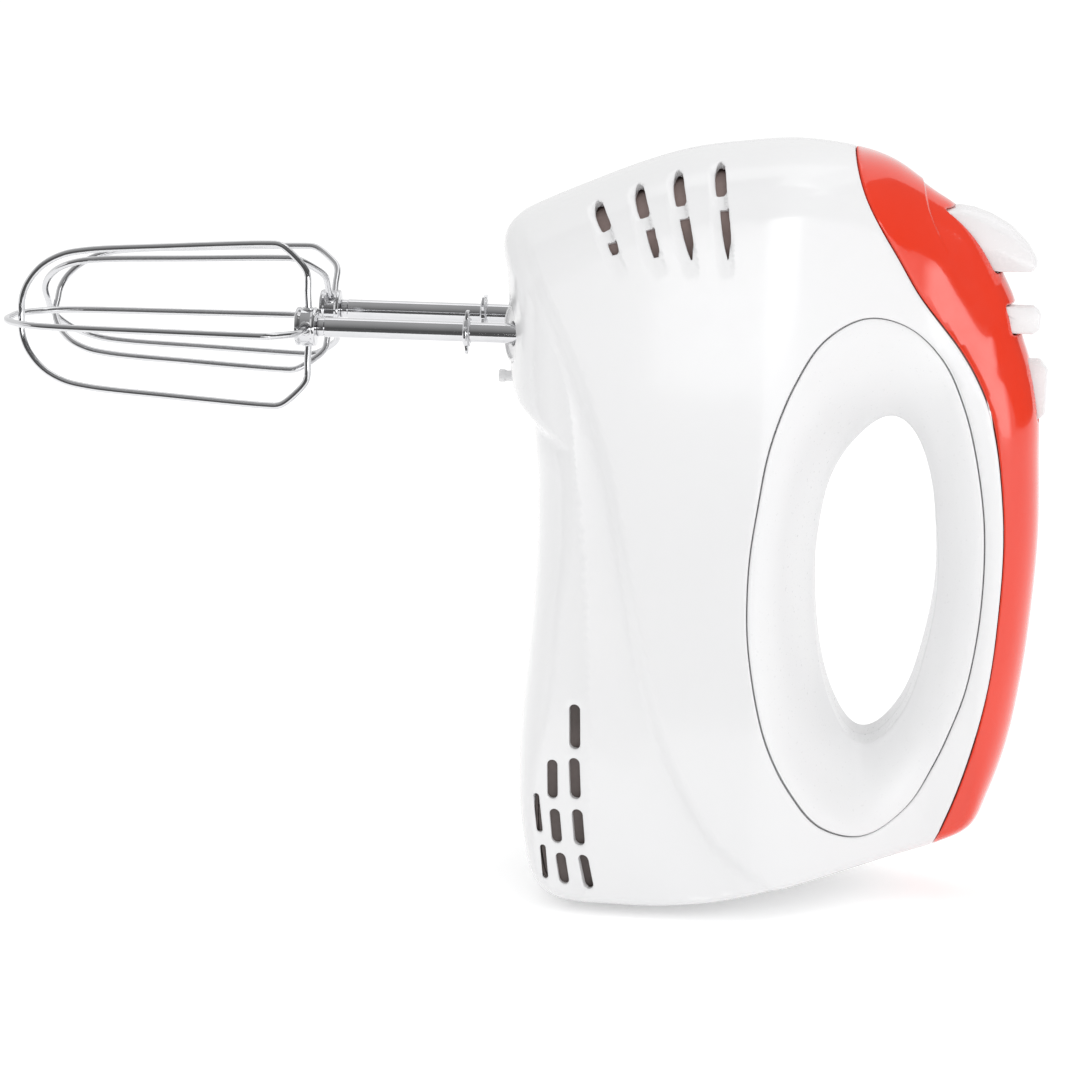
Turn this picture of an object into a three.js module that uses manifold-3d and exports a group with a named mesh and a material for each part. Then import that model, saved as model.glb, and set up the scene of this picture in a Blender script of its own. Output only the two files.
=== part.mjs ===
// A hand mixer standing on its heel: nose up, beaters along -X, handle on the +X side.
// Lengths are in millimetres, +Z is up, y = 0 is the plane of symmetry, and the origin is
// the middle of the heel foot's underside.
import * as THREE from 'three';
import { mergeVertices } from 'three/addons/utils/BufferGeometryUtils.js';
import Module from 'manifold-3d';

const wasm = await Module();
wasm.setup();

// ---------------------------------------------------------------- driving dimensions
const GAP = 0.3;                 // between pieces that meet
const WALL = 3;                  // housing wall
const HEAD_HALF_WIDTH = 47.5;
const HANDLE_HALF_WIDTH = 19;
const HEAD_END_X = 40;           // the width starts to narrow here ...
const HANDLE_START_X = 100;      // ... and is the handle's from here on
const BODY_CENTRE = [45, 120];   // [x, z] that the body's cross-sections shrink towards
const EDGE_STEPS = [[0, 1], [0.35, 0.992], [0.62, 0.97], [0.82, 0.935], [0.94, 0.89], [1, 0.83]];
const FACE_STEPS = [0.6, 0.3];
const INNER_EDGE_STEPS = [[0, 1], [0.6, 0.972], [0.9, 0.9], [1, 0.81]];
const OUTLINE_SAMPLES = 60;
const INNER_SAMPLES = 26;

const BEATER_SPACING = 46;
const BEATER_Z = 183;
const HUB_X = -104;
const TIP_X = -201;               // the outer loop's tip; the inner loop's lies inside it
const INNER_TIP_X = TIP_X + 3.4;
const LOOP_RADIUS = 25.9;
const LOOP_TIP_RADIUS = 22;
const WIRE_DIAMETER = 2.2;
const WIRE_STEPS = 40;
const SHAFT_RADIUS = 3.15;
const SHAFT_END_X = -3;
const FINS_X = -53;
const COLLAR_FACE_X = -39.2;      // on the socket's axis
const COLLAR_SLANT = 0.33;        // the face follows the nose outwards

const MOTOR_X = 5;
const WHEEL_TEETH = 38;
const WORM_LEAD = 2 * Math.PI;   // two starts, module 1
const WORM_PITCH_RADIUS = 4;
const WHEEL_PITCH_RADIUS = BEATER_SPACING / 2 - WORM_PITCH_RADIUS;
const EJECT_STROKE = 6;

// Side view of the housing, [x, z], starting at the nose and going down the underside.
const BODY_OUTLINE = [
  [-42.8, 214.6], [-44, 210], [-43, 205.5], [-42, 201], [-41.3, 196], [-41, 190], [-40.6, 180],
  [-40.2, 172], [-39.4, 166], [-37.9, 162], [-35.2, 159.8], [-33, 157.6], [-32.2, 154],
  [-31.6, 149], [-31.1, 140], [-30.9, 122], [-31.6, 97], [-33.2, 76], [-34.6, 58], [-34.6, 36],
  [-31.9, 18], [-28, 6.5], [-21, 1], [-5, 0], [12, 0], [30, 2], [46, 5.4], [63, 8.8],
  [84, 13.2], [102.5, 18.8], [113.2, 25], [118, 35.5], [123.2, 52], [127, 75], [129, 97],
  [130, 121], [129, 146], [128, 162], [125, 176], [121.5, 186], [119, 196], [114, 206],
  [108, 216], [100, 225], [89, 233], [79, 239.5], [68, 243], [49, 245], [31, 243.5], [15, 241],
  [-1, 236], [-17, 229.5], [-31.8, 223], [-39.2, 219],
];
const INSERT_OUTLINE = [
  [72, 192.5], [59.5, 186], [51.5, 173.5], [46.5, 161], [43.5, 150], [41.2, 135], [39.3, 120],
  [38.8, 106], [39.5, 91], [42.8, 71.5], [46.5, 58.5], [53.5, 44], [64.5, 30], [78.5, 25.3],
  [91.5, 33.5], [99.8, 48], [105, 61], [108.5, 72], [111.3, 89], [112.4, 104], [112.4, 119],
  [111.3, 132], [107.6, 151.5], [103.7, 164.3], [97, 178], [85.5, 189],
];
const HOLE_OUTLINE = [
  [81, 160], [69, 150], [63, 139], [60, 124], [59, 105], [62, 77], [68, 60], [76, 51],
  [83, 55], [90, 65], [95, 82], [98, 101], [98, 114], [95, 139], [91, 151], [86, 158],
];
// Front edge of the cover along the back of the handle, from the nose down to the heel.
const COVER_EDGE = [
  [67.3, 241.1], [70.4, 231], [75.1, 221.5], [81.8, 210.4], [88.4, 199.2], [95, 190.6],
  [101.8, 182], [107.1, 173.6], [111.7, 163.6], [114.9, 151], [117.3, 134.5], [118.4, 120],
  [118, 98.6], [116, 74.3], [112, 54.8], [106.9, 37.2], [101.6, 23],
];
const EJECT_PROFILE = [
  [104.3, 207], [114, 206], [124, 206.5], [125, 209], [123, 213], [119, 218], [113, 222.5],
  [106.5, 225.5], [101, 226], [97, 223], [97, 216], [104.3, 215.5],
];
const NOSE_VENTS = [[-10, 218, 9], [3, 222, 11], [14, 224, 13], [27, 225, 13]]; // x, z, height
const HEEL_VENTS = [[-14, 60, 14], [-14, 43, 13], [-14, 27, 12], [-14, 13, 8], [-20.5, 43, 13],
  [-20.5, 28, 12], [-19.5, 14, 8]];
const VENT_WIDTH = 3.2;
const SCREW_SPOTS = [[-22, 214], [55, 229], [-21, 24], [50, 19]];

// ---------------------------------------------------------------- helpers
const root = new THREE.Group();

function add(name, geometry, color, roughness = 0.5, metalness = 0) {
  const material = new THREE.MeshStandardMaterial({ color, roughness, metalness });
  const mesh = new THREE.Mesh(geometry, material);
  mesh.name = name;
  root.add(mesh);
  return mesh;
}

function toSolid(geometry) {
  const bare = geometry.clone();
  bare.deleteAttribute('normal');
  bare.deleteAttribute('uv');
  const merged = mergeVertices(bare, 1e-4);
  const vertProperties = new Float32Array(merged.attributes.position.array);
  const triVerts = new Uint32Array(merged.index.array);
  return new wasm.Manifold(new wasm.Mesh({ numProp: 3, vertProperties, triVerts }));
}

function toGeometry(solid) {
  const mesh = solid.getMesh();
  const geometry = new THREE.BufferGeometry();
  geometry.setAttribute('position', new THREE.Float32BufferAttribute(mesh.vertProperties, 3));
  geometry.setIndex(Array.from(mesh.triVerts));
  geometry.computeVertexNormals();
  return geometry;
}

const join = (...solids) => solids.reduce((a, b) => a.add(b));
const cut = (solid, ...tools) => tools.reduce((a, b) => a.subtract(b), solid);

function box(x, y, z) {
  const geometry = new THREE.BoxGeometry(x[1] - x[0], y[1] - y[0], z[1] - z[0]);
  geometry.translate((x[0] + x[1]) / 2, (y[0] + y[1]) / 2, (z[0] + z[1]) / 2);
  return toSolid(geometry);
}

function smooth(points, samples) {
  const knots = points.map(([x, z]) => new THREE.Vector3(x, 0, z));
  const curve = new THREE.CatmullRomCurve3(knots, true, 'centripetal');
  return curve.getSpacedPoints(samples).slice(0, samples).map((p) => [p.x, p.z]);
}

// A side-view outline made into a slab between two y values.
function slab(points, y0, y1) {
  const shape = new THREE.Shape(points.map(([x, z]) => new THREE.Vector2(x, z)));
  const geometry = new THREE.ExtrudeGeometry(shape, { depth: y1 - y0, bevelEnabled: false });
  geometry.rotateX(Math.PI / 2);
  geometry.translate(0, y1, 0);
  return toSolid(geometry);
}

function grown(points, distance, centre) {
  return points.map(([x, z]) => {
    const r = Math.hypot(x - centre[0], z - centre[1]);
    return [x + ((x - centre[0]) * distance) / r, z + ((z - centre[1]) * distance) / r];
  });
}

// A turned piece: profile of [radius, along], laid along 'x' or 'z' from the given axis point.
function turned(profile, axis, at, segments = 16) {
  const points = profile.map(([r, h]) => new THREE.Vector2(r, h));
  if (profile[0][0] > 0) points.push(points[0].clone());
  const geometry = new THREE.LatheGeometry(points, segments);
  if (axis === 'x') geometry.rotateZ(-Math.PI / 2);
  if (axis === 'z') geometry.rotateX(Math.PI / 2);
  geometry.translate(...at);
  let solid = toSolid(geometry);
  if (solid.volume() < 0) {
    const index = geometry.index.array;
    for (let i = 0; i < index.length; i += 3) [index[i], index[i + 1]] = [index[i + 1], index[i]];
    solid = toSolid(geometry);
  }
  return solid;
}

const rod = (r, from, to, axis, at, segments) =>
  turned([[0, from], [r, from], [r, to], [0, to]], axis, at, segments);
const ring = (outer, inner, from, to, axis, at, segments) =>
  turned([[inner, from], [outer, from], [outer, to], [inner, to]], axis, at, segments);

// A closed surface through rings of points that all have the same count.
// With wrap the last ring joins the first; otherwise the two ends are closed by fans.
function loft(rings, wrap) {
  const n = rings[0].length;
  const positions = rings.flat(2);
  const index = [];
  const last = wrap ? rings.length : rings.length - 1;
  for (let k = 0; k < last; k++) {
    const a = k * n;
    const b = ((k + 1) % rings.length) * n;
    for (let i = 0; i < n; i++) {
      const j = (i + 1) % n;
      index.push(a + i, a + j, b + j, a + i, b + j, b + i);
    }
  }
  if (!wrap) {
    for (const [k, flip] of [[0, true], [rings.length - 1, false]]) {
      const centre = [0, 1, 2].map((c) => rings[k].reduce((s, p) => s + p[c], 0) / n);
      const hub = positions.length / 3;
      positions.push(...centre);
      for (let i = 0; i < n; i++) {
        const [p, q] = [k * n + i, k * n + ((i + 1) % n)];
        index.push(...(flip ? [hub, q, p] : [hub, p, q]));
      }
    }
  }
  const geometry = new THREE.BufferGeometry();
  geometry.setAttribute('position', new THREE.Float32BufferAttribute(positions, 3));
  geometry.setIndex(index);
  const solid = toSolid(geometry);
  if (solid.volume() > 0) return solid;
  for (let i = 0; i < index.length; i += 3) [index[i], index[i + 1]] = [index[i + 1], index[i]];
  geometry.setIndex(index);
  return toSolid(geometry);
}

// A round wire along a curve.
function wire(curve, diameter, steps, sides = 6) {
  const section = new THREE.Shape();
  section.absarc(0, 0, diameter / 2, 0, 2 * Math.PI);
  const options = { steps, extrudePath: curve, curveSegments: sides / 2, bevelEnabled: false };
  return toSolid(new THREE.ExtrudeGeometry(section, options));
}

function coilAlongX(radius, x0, x1, turns, at, diameter) {
  const points = [];
  for (let i = 0; i <= turns * 8; i++) {
    const a = (i / 8) * 2 * Math.PI;
    const x = x0 + ((x1 - x0) * i) / (turns * 8);
    points.push(new THREE.Vector3(x, at[0] + radius * Math.cos(a), at[1] + radius * Math.sin(a)));
  }
  return wire(new THREE.CatmullRomCurve3(points), diameter, turns * 8, 4);
}

// ---------------------------------------------------------------- housing
function halfWidth(x) {
  const t = THREE.MathUtils.smoothstep(x, HEAD_END_X, HANDLE_START_X);
  return HEAD_HALF_WIDTH + (HANDLE_HALF_WIDTH - HEAD_HALF_WIDTH) * t;
}

// Share of the usual edge rounding at a point of the outline: little along the heel.
function edgeShare(x, z) {
  const angle = THREE.MathUtils.radToDeg(Math.atan2(z - BODY_CENTRE[1], x - BODY_CENTRE[0]));
  const heel = Math.min(THREE.MathUtils.smoothstep(angle, -146, -120),
    1 - THREE.MathUtils.smoothstep(angle, -56, -34));
  return 1 - 0.68 * heel;
}

// The whole housing as a rounded solid, shrunk all round by the given wall.
function housingSolid(wall, samples, edgeSteps, faceSteps) {
  const outline = grown(smooth(BODY_OUTLINE, samples), -wall, BODY_CENTRE);
  const steps = [...edgeSteps, ...faceSteps.map((s) => [1, s])];
  const levels = [...steps.slice(1).reverse().map(([t, s]) => [-t, s]), ...steps];
  const rings = levels.map(([t, step]) => outline.map(([x, z]) => {
    const s = wall > 0 || step < 0.8 ? step : 1 - (1 - step) * edgeShare(x, z);
    const px = BODY_CENTRE[0] + (x - BODY_CENTRE[0]) * s;
    const pz = BODY_CENTRE[1] + (z - BODY_CENTRE[1]) * s;
    return [px, t * (halfWidth(px) - wall), pz];
  }));
  return loft(rings, false);
}

const outer = housingSolid(0, OUTLINE_SAMPLES, EDGE_STEPS, FACE_STEPS);
const inner = housingSolid(WALL + 0.4, INNER_SAMPLES, INNER_EDGE_STEPS, [0.4]);
const skin = outer.subtract(inner);
const SIDES = [['left', -1], ['right', 1]];

const insertOutline = smooth(INSERT_OUTLINE, 32);
const holeOutline = smooth(HOLE_OUTLINE, 32);
const insertCentre = [76, 105];
const insertOpening = slab(grown(insertOutline, GAP, insertCentre), -60, 60);

const coverEdge = (shift) => [
  ...[[67, 300], ...COVER_EDGE, [102, -20]].map(([x, z]) => [x + shift, z]),
  [220, -20], [220, 300],
];
const coverRegion = slab(coverEdge(0), -60, 60);
const coverClear = slab(coverEdge(-GAP), -60, 60);

const ventTools = (side) => [...NOSE_VENTS, ...HEEL_VENTS].map(([x, z, height]) => {
  const w = VENT_WIDTH / 2;
  const lean = z > 100 ? -1.5 : 0;
  const slot = [[x - w + lean, z + height / 2], [x - w - lean, z - height / 2],
    [x + w - lean, z - height / 2], [x + w + lean, z + height / 2]];
  return side < 0 ? slab(slot, -60, -16) : slab(slot, 16, 60);
});

const socketHole = (side) => rod(9.9, -60, -30, 'x', [0, side * BEATER_SPACING / 2, BEATER_Z], 20);
const footPocket = box([-20 - GAP, 26 + GAP], [-22 - GAP, 22 + GAP], [-5, 2.2 + GAP]);
const inletHole = rod(7.1, 5, 34, 'z', [90, 0, 0]);

SIDES.forEach(([name, side]) => {
  const half = side < 0 ? box([-80, 180], [-80, -GAP / 2], [-20, 280])
    : box([-80, 180], [GAP / 2, 80], [-20, 280]);
  const bosses = SCREW_SPOTS.map(([x, z]) => {
    const reach = halfWidth(x) - 1.5;
    return rod(4.2, 0, reach, 'y', [0, 0, 0], 12).rotate([side < 0 ? 180 : 0, 0, 0])
      .translate([x, 0, z]);
  });
  const bores = SCREW_SPOTS.map(([x, z]) => {
    const narrow = rod(1.9, -17, 10, 'y', [x, 0, z], 10);
    return side < 0 ? narrow : narrow.add(rod(3.4, 9.5, 60, 'y', [x, 0, z], 12));
  });
  const posts = join(...bosses).intersect(outer);
  const shell = cut(skin.add(posts).intersect(half), coverClear, insertOpening, footPocket,
    socketHole(side), inletHole, ...bores, ...ventTools(side));
  add(`${name}_shell`, toGeometry(shell), 0xf2f0ec, 0.25);
});

SCREW_SPOTS.forEach(([x, z], i) => {
  const profile = [[0, -15], [1.5, -15], [1.5, 10.4], [3, 10.4], [3, 12.6], [0, 12.6]];
  add(`shell_screw_${i + 1}`, toGeometry(turned(profile, 'y', [x, 0, z], 8)), 0x9a9da0, 0.4, 1);
});

// Each grip insert is a dished ring from the seam in the side down to the finger hole.
const DISH = [ // [share of the way from the seam to the hole, share of the drop, depth below]
  [0, 0, 0], [0.3, 0.1, 0], [0.62, 0.36, 0], [0.86, 0.76, 0], [0.97, 1, 0], [1, 1.16, 0],
];
const HOLE_EDGE_Y = 13;
SIDES.forEach(([name, side]) => {
  const level = (share, drop, wall, y) => insertOutline.map(([ox, oz], i) => {
    const [hx, hz] = holeOutline[i];
    const top = halfWidth(ox);
    const height = y ?? top + (HOLE_EDGE_Y - top) * drop - wall;
    return [ox + (hx - ox) * share, side * Math.max(height, GAP / 2), oz + (hz - oz) * share];
  });
  const back = [level(0.8, 1, 0, GAP / 2), level(0.8, 0.76, WALL), level(0.55, 0.36, WALL),
    level(0.28, 0.1, WALL), level(0, 0, WALL)];
  const rings = [...DISH.map(([s, d]) => level(s, d, 0)), level(1, 1, 0, GAP / 2), ...back];
  add(`${name}_grip_insert`, toGeometry(loft(rings, true)), 0xefedea, 0.3);
});

const ejectOpening = box([85, 140], [-10.2, 10.2], [204.6, 228]);
const knobSlot = box([112, 140], [-12.5, 12.5], [186.2, 195.8]);
const turboOpening = box([110, 140], [-6.5, 6.5], [158.4, 177.6]);
const cover = cut(skin.intersect(coverRegion), ejectOpening, knobSlot, turboOpening);
add('top_cover', toGeometry(cover), 0xee4b38, 0.2);

// ---------------------------------------------------------------- fittings of the housing
SIDES.forEach(([name, side]) => {
  const at = [0, side * BEATER_SPACING / 2, BEATER_Z];
  const profile = [[4.4, -43], [8.6, -43], [9.5, -42], [9.5, -34], [4.4, -34]];
  const slanted = turned(profile, 'x', at, 20).trimByPlane([1, -side * COLLAR_SLANT, 0],
    (COLLAR_FACE_X - COLLAR_SLANT * BEATER_SPACING / 2) / Math.hypot(1, COLLAR_SLANT));
  add(`${name}_socket_collar`, toGeometry(slanted), 0xf2f0ec, 0.3);
});
const lugProfile = [[0, -45.3], [1.5, -45.3], [2.1, -44.6], [2.1, -41], [0, -41]];
add('underside_lug', toGeometry(turned(lugProfile, 'x', [0, 0, 166], 12)), 0xf2f0ec, 0.3);
add('heel_foot', toGeometry(box([-20, 26], [-22, 22], [0, 2.2])), 0x6c6c6c, 0.9);
add('cord_inlet', toGeometry(ring(6.8, 3.6, 17.5, 33, 'z', [90, 0, 0], 16)), 0xe6e4e0, 0.5);

// ---------------------------------------------------------------- gear train
const atSpindle = (side) => [0, side * BEATER_SPACING / 2, BEATER_Z];
const atMotor = [MOTOR_X, 0, 0];
const spindleHole = (side) => rod(6.4, -60, 60, 'x', atSpindle(side));
const frameBody = join(
  box([-13, -10], [-34, 34], [150, 212]),
  box([16, 19], [-34, 34], [150, 212]),
  box([-13, 19], [-11, 11], [207, 212]),
  box([-13, 26], [-22, 22], [150, 154]),
  rod(9, -27, -10, 'x', atSpindle(-1)),
  rod(9, -27, -10, 'x', atSpindle(1)),
);
const gearFrame = cut(frameBody, spindleHole(-1), spindleHole(1),
  rod(6.9, 206, 214, 'z', atMotor), rod(8, 148, 156, 'z', atMotor));
add('gear_frame', toGeometry(gearFrame), 0x8d9196, 0.5, 0.6);

function toothedWheel(side) {
  const points = [];
  const pitch = (2 * Math.PI) / WHEEL_TEETH;
  const inward = side < 0 ? 0 : Math.PI;  // towards the worm
  for (let i = 0; i < WHEEL_TEETH; i++) {
    const mid = inward + (i + 0.5) * pitch;
    for (const [r, half] of [[17.6, 1.0], [19.7, 0.45]]) points.push([r, mid - half / r]);
    for (const [r, half] of [[19.7, 0.45], [17.6, 1.0]]) points.push([r, mid + half / r]);
  }
  const outline = points.map(([r, a]) => new THREE.Vector2(r * Math.cos(a), r * Math.sin(a)));
  const shape = new THREE.Shape(outline);
  shape.holes.push(new THREE.Path().absarc(0, 0, 6.3, 0, 2 * Math.PI, true));
  const geometry = new THREE.ExtrudeGeometry(shape, { depth: 5, curveSegments: 10,
    bevelEnabled: false });
  const position = geometry.attributes.position;
  for (let i = 0; i < position.count; i++) { // a helix that follows the worm's thread
    const along = position.getZ(i) - 2.5;
    const turn = (along * WORM_LEAD) / (2 * Math.PI * WORM_PITCH_RADIUS) / WHEEL_PITCH_RADIUS;
    const [u, v] = [position.getX(i), position.getY(i)];
    const [c, s] = [Math.cos(turn), Math.sin(turn)];
    position.setXYZ(i, along + MOTOR_X, side * BEATER_SPACING / 2 + u * c - v * s,
      BEATER_Z + u * s + v * c);
  }
  return geometry;
}

// A two-start thread laid out on rows of points that rise with the lead.
function wormThread(z0, rows) {
  const around = 12;
  const rowStep = WORM_LEAD / around;
  const rings = [];
  for (let k = 0; k < rows; k++) {
    const points = [];
    for (let i = 0; i < around; i++) {
      const a = (i / around) * 2 * Math.PI;
      const phase = (((k - i) % 6) + 6) % 6;
      const r = phase === 3 || phase === 4 ? 5 : 3;
      points.push([MOTOR_X + r * Math.cos(a), r * Math.sin(a), z0 + k * rowStep]);
    }
    rings.push(points);
  }
  return loft(rings, false);
}
const CREST_OFFSET = 6.5 * (WORM_LEAD / 12);  // from a row start to a crest beside the wheels
const wormZ = BEATER_Z - CREST_OFFSET - WORM_LEAD;
const worm = wormThread(wormZ, 40).add(rod(2.5, 170, 214, 'z', atMotor, 12));
add('worm', toGeometry(worm), 0xb9bcc0, 0.3, 1);

SIDES.forEach(([name, side]) => {
  const at = atSpindle(side);
  const profile = [[3.6, -34], [6, -34], [6, 8.2], [8, 8.2], [8, 10], [6, 10], [6, 26], [3.6, 26]];
  add(`${name}_worm_wheel`, toGeometry(toSolid(toothedWheel(side))), 0xdcd6c4, 0.5);
  add(`${name}_spindle`, toGeometry(turned(profile, 'x', at)), 0xb9bcc0, 0.35, 1);
});

// ---------------------------------------------------------------- motor
const squareRing = cut(box([-21, 31], [-26, 26], [88, 124]), rod(15.8, 80, 130, 'z', atMotor, 28));
add('stator_core', toGeometry(squareRing), 0x70757a, 0.5, 0.8);
add('field_coil_upper', toGeometry(ring(23, 17, 124.3, 133, 'z', atMotor)), 0xb8703a, 0.45, 0.6);
add('field_coil_lower', toGeometry(ring(23, 17, 78, 87.7, 'z', atMotor)), 0xb8703a, 0.45, 0.6);

const armatureShape = [];
for (let i = 0; i < 12; i++) {
  const a = (i / 12) * 2 * Math.PI;
  for (const [r, d] of [[15, -0.2], [15, 0.2], [11, 0.22], [11, 0.3]]) {
    armatureShape.push(new THREE.Vector2(r * Math.cos(a + d), r * Math.sin(a + d)));
  }
}
const laminations = new THREE.Shape(armatureShape);
const corePrism = new THREE.ExtrudeGeometry(laminations, { depth: 32, bevelEnabled: false });
corePrism.translate(MOTOR_X, 0, 90);
const armatureBore = rod(2.8, 50, 160, 'z', atMotor, 12);
add('armature_core', toGeometry(toSolid(corePrism).subtract(armatureBore)), 0x7d6a55, 0.5, 0.6);
add('armature_shaft', toGeometry(rod(2.5, 50, 169.7, 'z', atMotor, 12)), 0xb9bcc0, 0.3, 1);
add('commutator', toGeometry(ring(9, 2.8, 62, 74, 'z', atMotor)), 0xb87333, 0.35, 1);

const blades = Array.from({ length: 8 }, (_, i) => box([5, 21.5], [-0.7, 0.7], [137, 145])
  .rotate([0, 0, i * 45]).translate([MOTOR_X, 0, 0]));
const fanDisc = join(rod(22, 136, 137.5, 'z', atMotor, 20), rod(6, 136, 146, 'z', atMotor, 10));
const fan = join(fanDisc, ...blades).subtract(armatureBore);
add('cooling_fan', toGeometry(fan), 0xd9d6cf, 0.6);

const bracketPosts = [[-18, -22], [-18, 22], [28, -22], [28, 22]].map(([x, y]) =>
  box([x - 2.5, x + 2.5], [y - 2.5, y + 2.5], [56, 87.7]));
const bracketPlate = box([-20.5, 30.5], [-24.5, 24.5], [52, 57]);
const bracket = join(bracketPlate, ...bracketPosts).subtract(rod(6.9, 50, 60, 'z', atMotor));
add('motor_bracket', toGeometry(bracket), 0x8d9196, 0.5, 0.6);
add('upper_bearing', toGeometry(ring(6.5, 2.9, 207, 212, 'z', atMotor)), 0xc9a25a, 0.4, 0.9);
add('lower_bearing', toGeometry(ring(6.5, 2.9, 52, 57, 'z', atMotor)), 0xc9a25a, 0.4, 0.9);

[-1, 1].forEach((side, i) => {
  const span = (a, b) => (side < 0 ? [-b, -a] : [a, b]);
  const sleeve = cut(box([0, 10], span(11.5, 24), [63, 73]),
    box([1.7, 8.3], span(10, 26), [64.7, 71.3]));
  add(`brush_holder_${i + 1}`, toGeometry(sleeve), 0xc0a060, 0.4, 0.9);
  add(`carbon_brush_${i + 1}`, toGeometry(box([2, 8], span(9.4, 21), [65, 71])), 0x2b2b2b, 0.9);
});

add('circuit_board', toGeometry(box([-10, 42], [14, 15.6], [10, 44])), 0x2f6b45, 0.6);
add('speed_switch', toGeometry(box([101.5, 109], [-9, 9], [187, 195])), 0x333333, 0.6);
add('turbo_switch', toGeometry(box([112.5, 115], [-5, 5], [161, 175])), 0x333333, 0.6);

// ---------------------------------------------------------------- beaters
// A loop in the plane at the given angle about the beater's axis.
function loopCurve(angle, tipX, side) {
  // Half of the loop as [x, r]: out of the hub, over the corner and down to the tip.
  const half = [[HUB_X + 0.4, 3.6], [HUB_X, 10], [HUB_X - 0.2, 16.6], [HUB_X - 1.4, 19],
    [HUB_X - 7.4, LOOP_RADIUS - 1.1], [HUB_X - 9.6, LOOP_RADIUS - 0.1],
    [HUB_X - 12.8, LOOP_RADIUS], [HUB_X - 45, 24], [tipX + 21.5, LOOP_TIP_RADIUS - 0.1],
    [tipX + 14, 20.2], [tipX + 7.5, 16.5], [tipX + 2.8, 10.8], [tipX + 0.9, 5.4]];
  const path = [...half, [tipX + 0.8, 0], ...half.slice().reverse().map(([x, r]) => [x, -r])];
  const [c, s] = [Math.cos(angle), Math.sin(angle)];
  return new THREE.CatmullRomCurve3(path.map(([x, r]) => new THREE.Vector3(
    x, side * BEATER_SPACING / 2 + r * s, BEATER_Z + r * c)), false, 'centripetal');
}

SIDES.forEach(([name, side]) => {
  const at = atSpindle(side);
  const chrome = [0xd9dcdf, 0.12, 1];
  const start = side < 0 ? 0 : Math.PI / 4;
  const shaft = [[0, HUB_X + 3.4], [SHAFT_RADIUS, HUB_X + 3.4], [SHAFT_RADIUS, SHAFT_END_X - 8],
    [SHAFT_RADIUS - 0.9, SHAFT_END_X - 7], [SHAFT_RADIUS - 0.9, SHAFT_END_X - 5],
    [SHAFT_RADIUS, SHAFT_END_X - 4], [SHAFT_RADIUS, SHAFT_END_X - 1.5], [1.6, SHAFT_END_X],
    [0, SHAFT_END_X]];
  add(`${name}_beater_shaft`, toGeometry(turned(shaft, 'x', at, 12)), ...chrome);
  const sleeve = ring(4.8, SHAFT_RADIUS + GAP, FINS_X - 1.2, FINS_X + 1.2, 'x', at, 12);
  const fins = [0, 90, 180, 270].map((a) => box([FINS_X - 0.6, FINS_X + 0.6], [-2.2, 2.2], [4, 6.9])
    .rotate([a, 0, 0]).translate(at));
  add(`${name}_beater_fins`, toGeometry(join(sleeve, ...fins)), ...chrome);
  const hub = turned([[0, HUB_X - 3], [4.6, HUB_X - 3], [6.1, HUB_X - 1.8], [6.1, HUB_X + 2],
    [4.8, HUB_X + 3], [0, HUB_X + 3]], 'x', at, 14);
  const curves = [loopCurve(start, INNER_TIP_X, side), loopCurve(start + Math.PI / 2, TIP_X, side)];
  const loops = curves.map((curve) => wire(curve, WIRE_DIAMETER, WIRE_STEPS));
  const grooves = curves.map((curve) => wire(curve, WIRE_DIAMETER + 2 * GAP, WIRE_STEPS));
  add(`${name}_beater_hub`, toGeometry(cut(hub, ...grooves)), ...chrome);
  loops.forEach((loop, i) => add(`${name}_wire_${i + 1}`, toGeometry(loop), ...chrome));
});

// ---------------------------------------------------------------- controls
add('eject_button', toGeometry(slab(EJECT_PROFILE, -9.6, 9.6)), 0xf6f4f0, 0.25);
const pins = SIDES.map(([, side]) => rod(2.6, SHAFT_END_X + EJECT_STROKE + 0.7, 35, 'x',
  atSpindle(side), 12));
const ejectBar = join(box([34, 38], [-28, 28], [178, 188]), box([34, 38], [-5, 5], [186, 214]),
  box([36, 104], [-4, 4], [208.5, 214]), ...pins);
add('eject_bar', toGeometry(ejectBar), 0xd9d6cf, 0.5);
add('eject_spring', toGeometry(coilAlongX(3.4, 26.2, 33, 4, [0, 197], 0.8)), 0xb9bcc0, 0.3, 1);

const knob = join(box([118, 126.5], [-12, -4], [187, 195]), box([112.4, 118.5], [-10.5, -5.5],
  [188.5, 193.5]));
add('speed_knob', toGeometry(knob), 0xf6f4f0, 0.25);
const turbo = slab([[122.5, 159], [128.2, 159], [130, 161], [130, 175], [128, 177], [122.5, 177]],
  -6, 6);
add('turbo_button', toGeometry(turbo), 0xf6f4f0, 0.25);
add('turbo_spring', toGeometry(coilAlongX(2.6, 117.8, 121.8, 3, [0, 168], 0.7)), 0xb9bcc0, 0.3, 1);

export default root;
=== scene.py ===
import math

import bpy
import numpy as np
from mathutils import Matrix, Vector, kdtree
from mathutils.geometry import delaunay_2d_cdt


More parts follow.
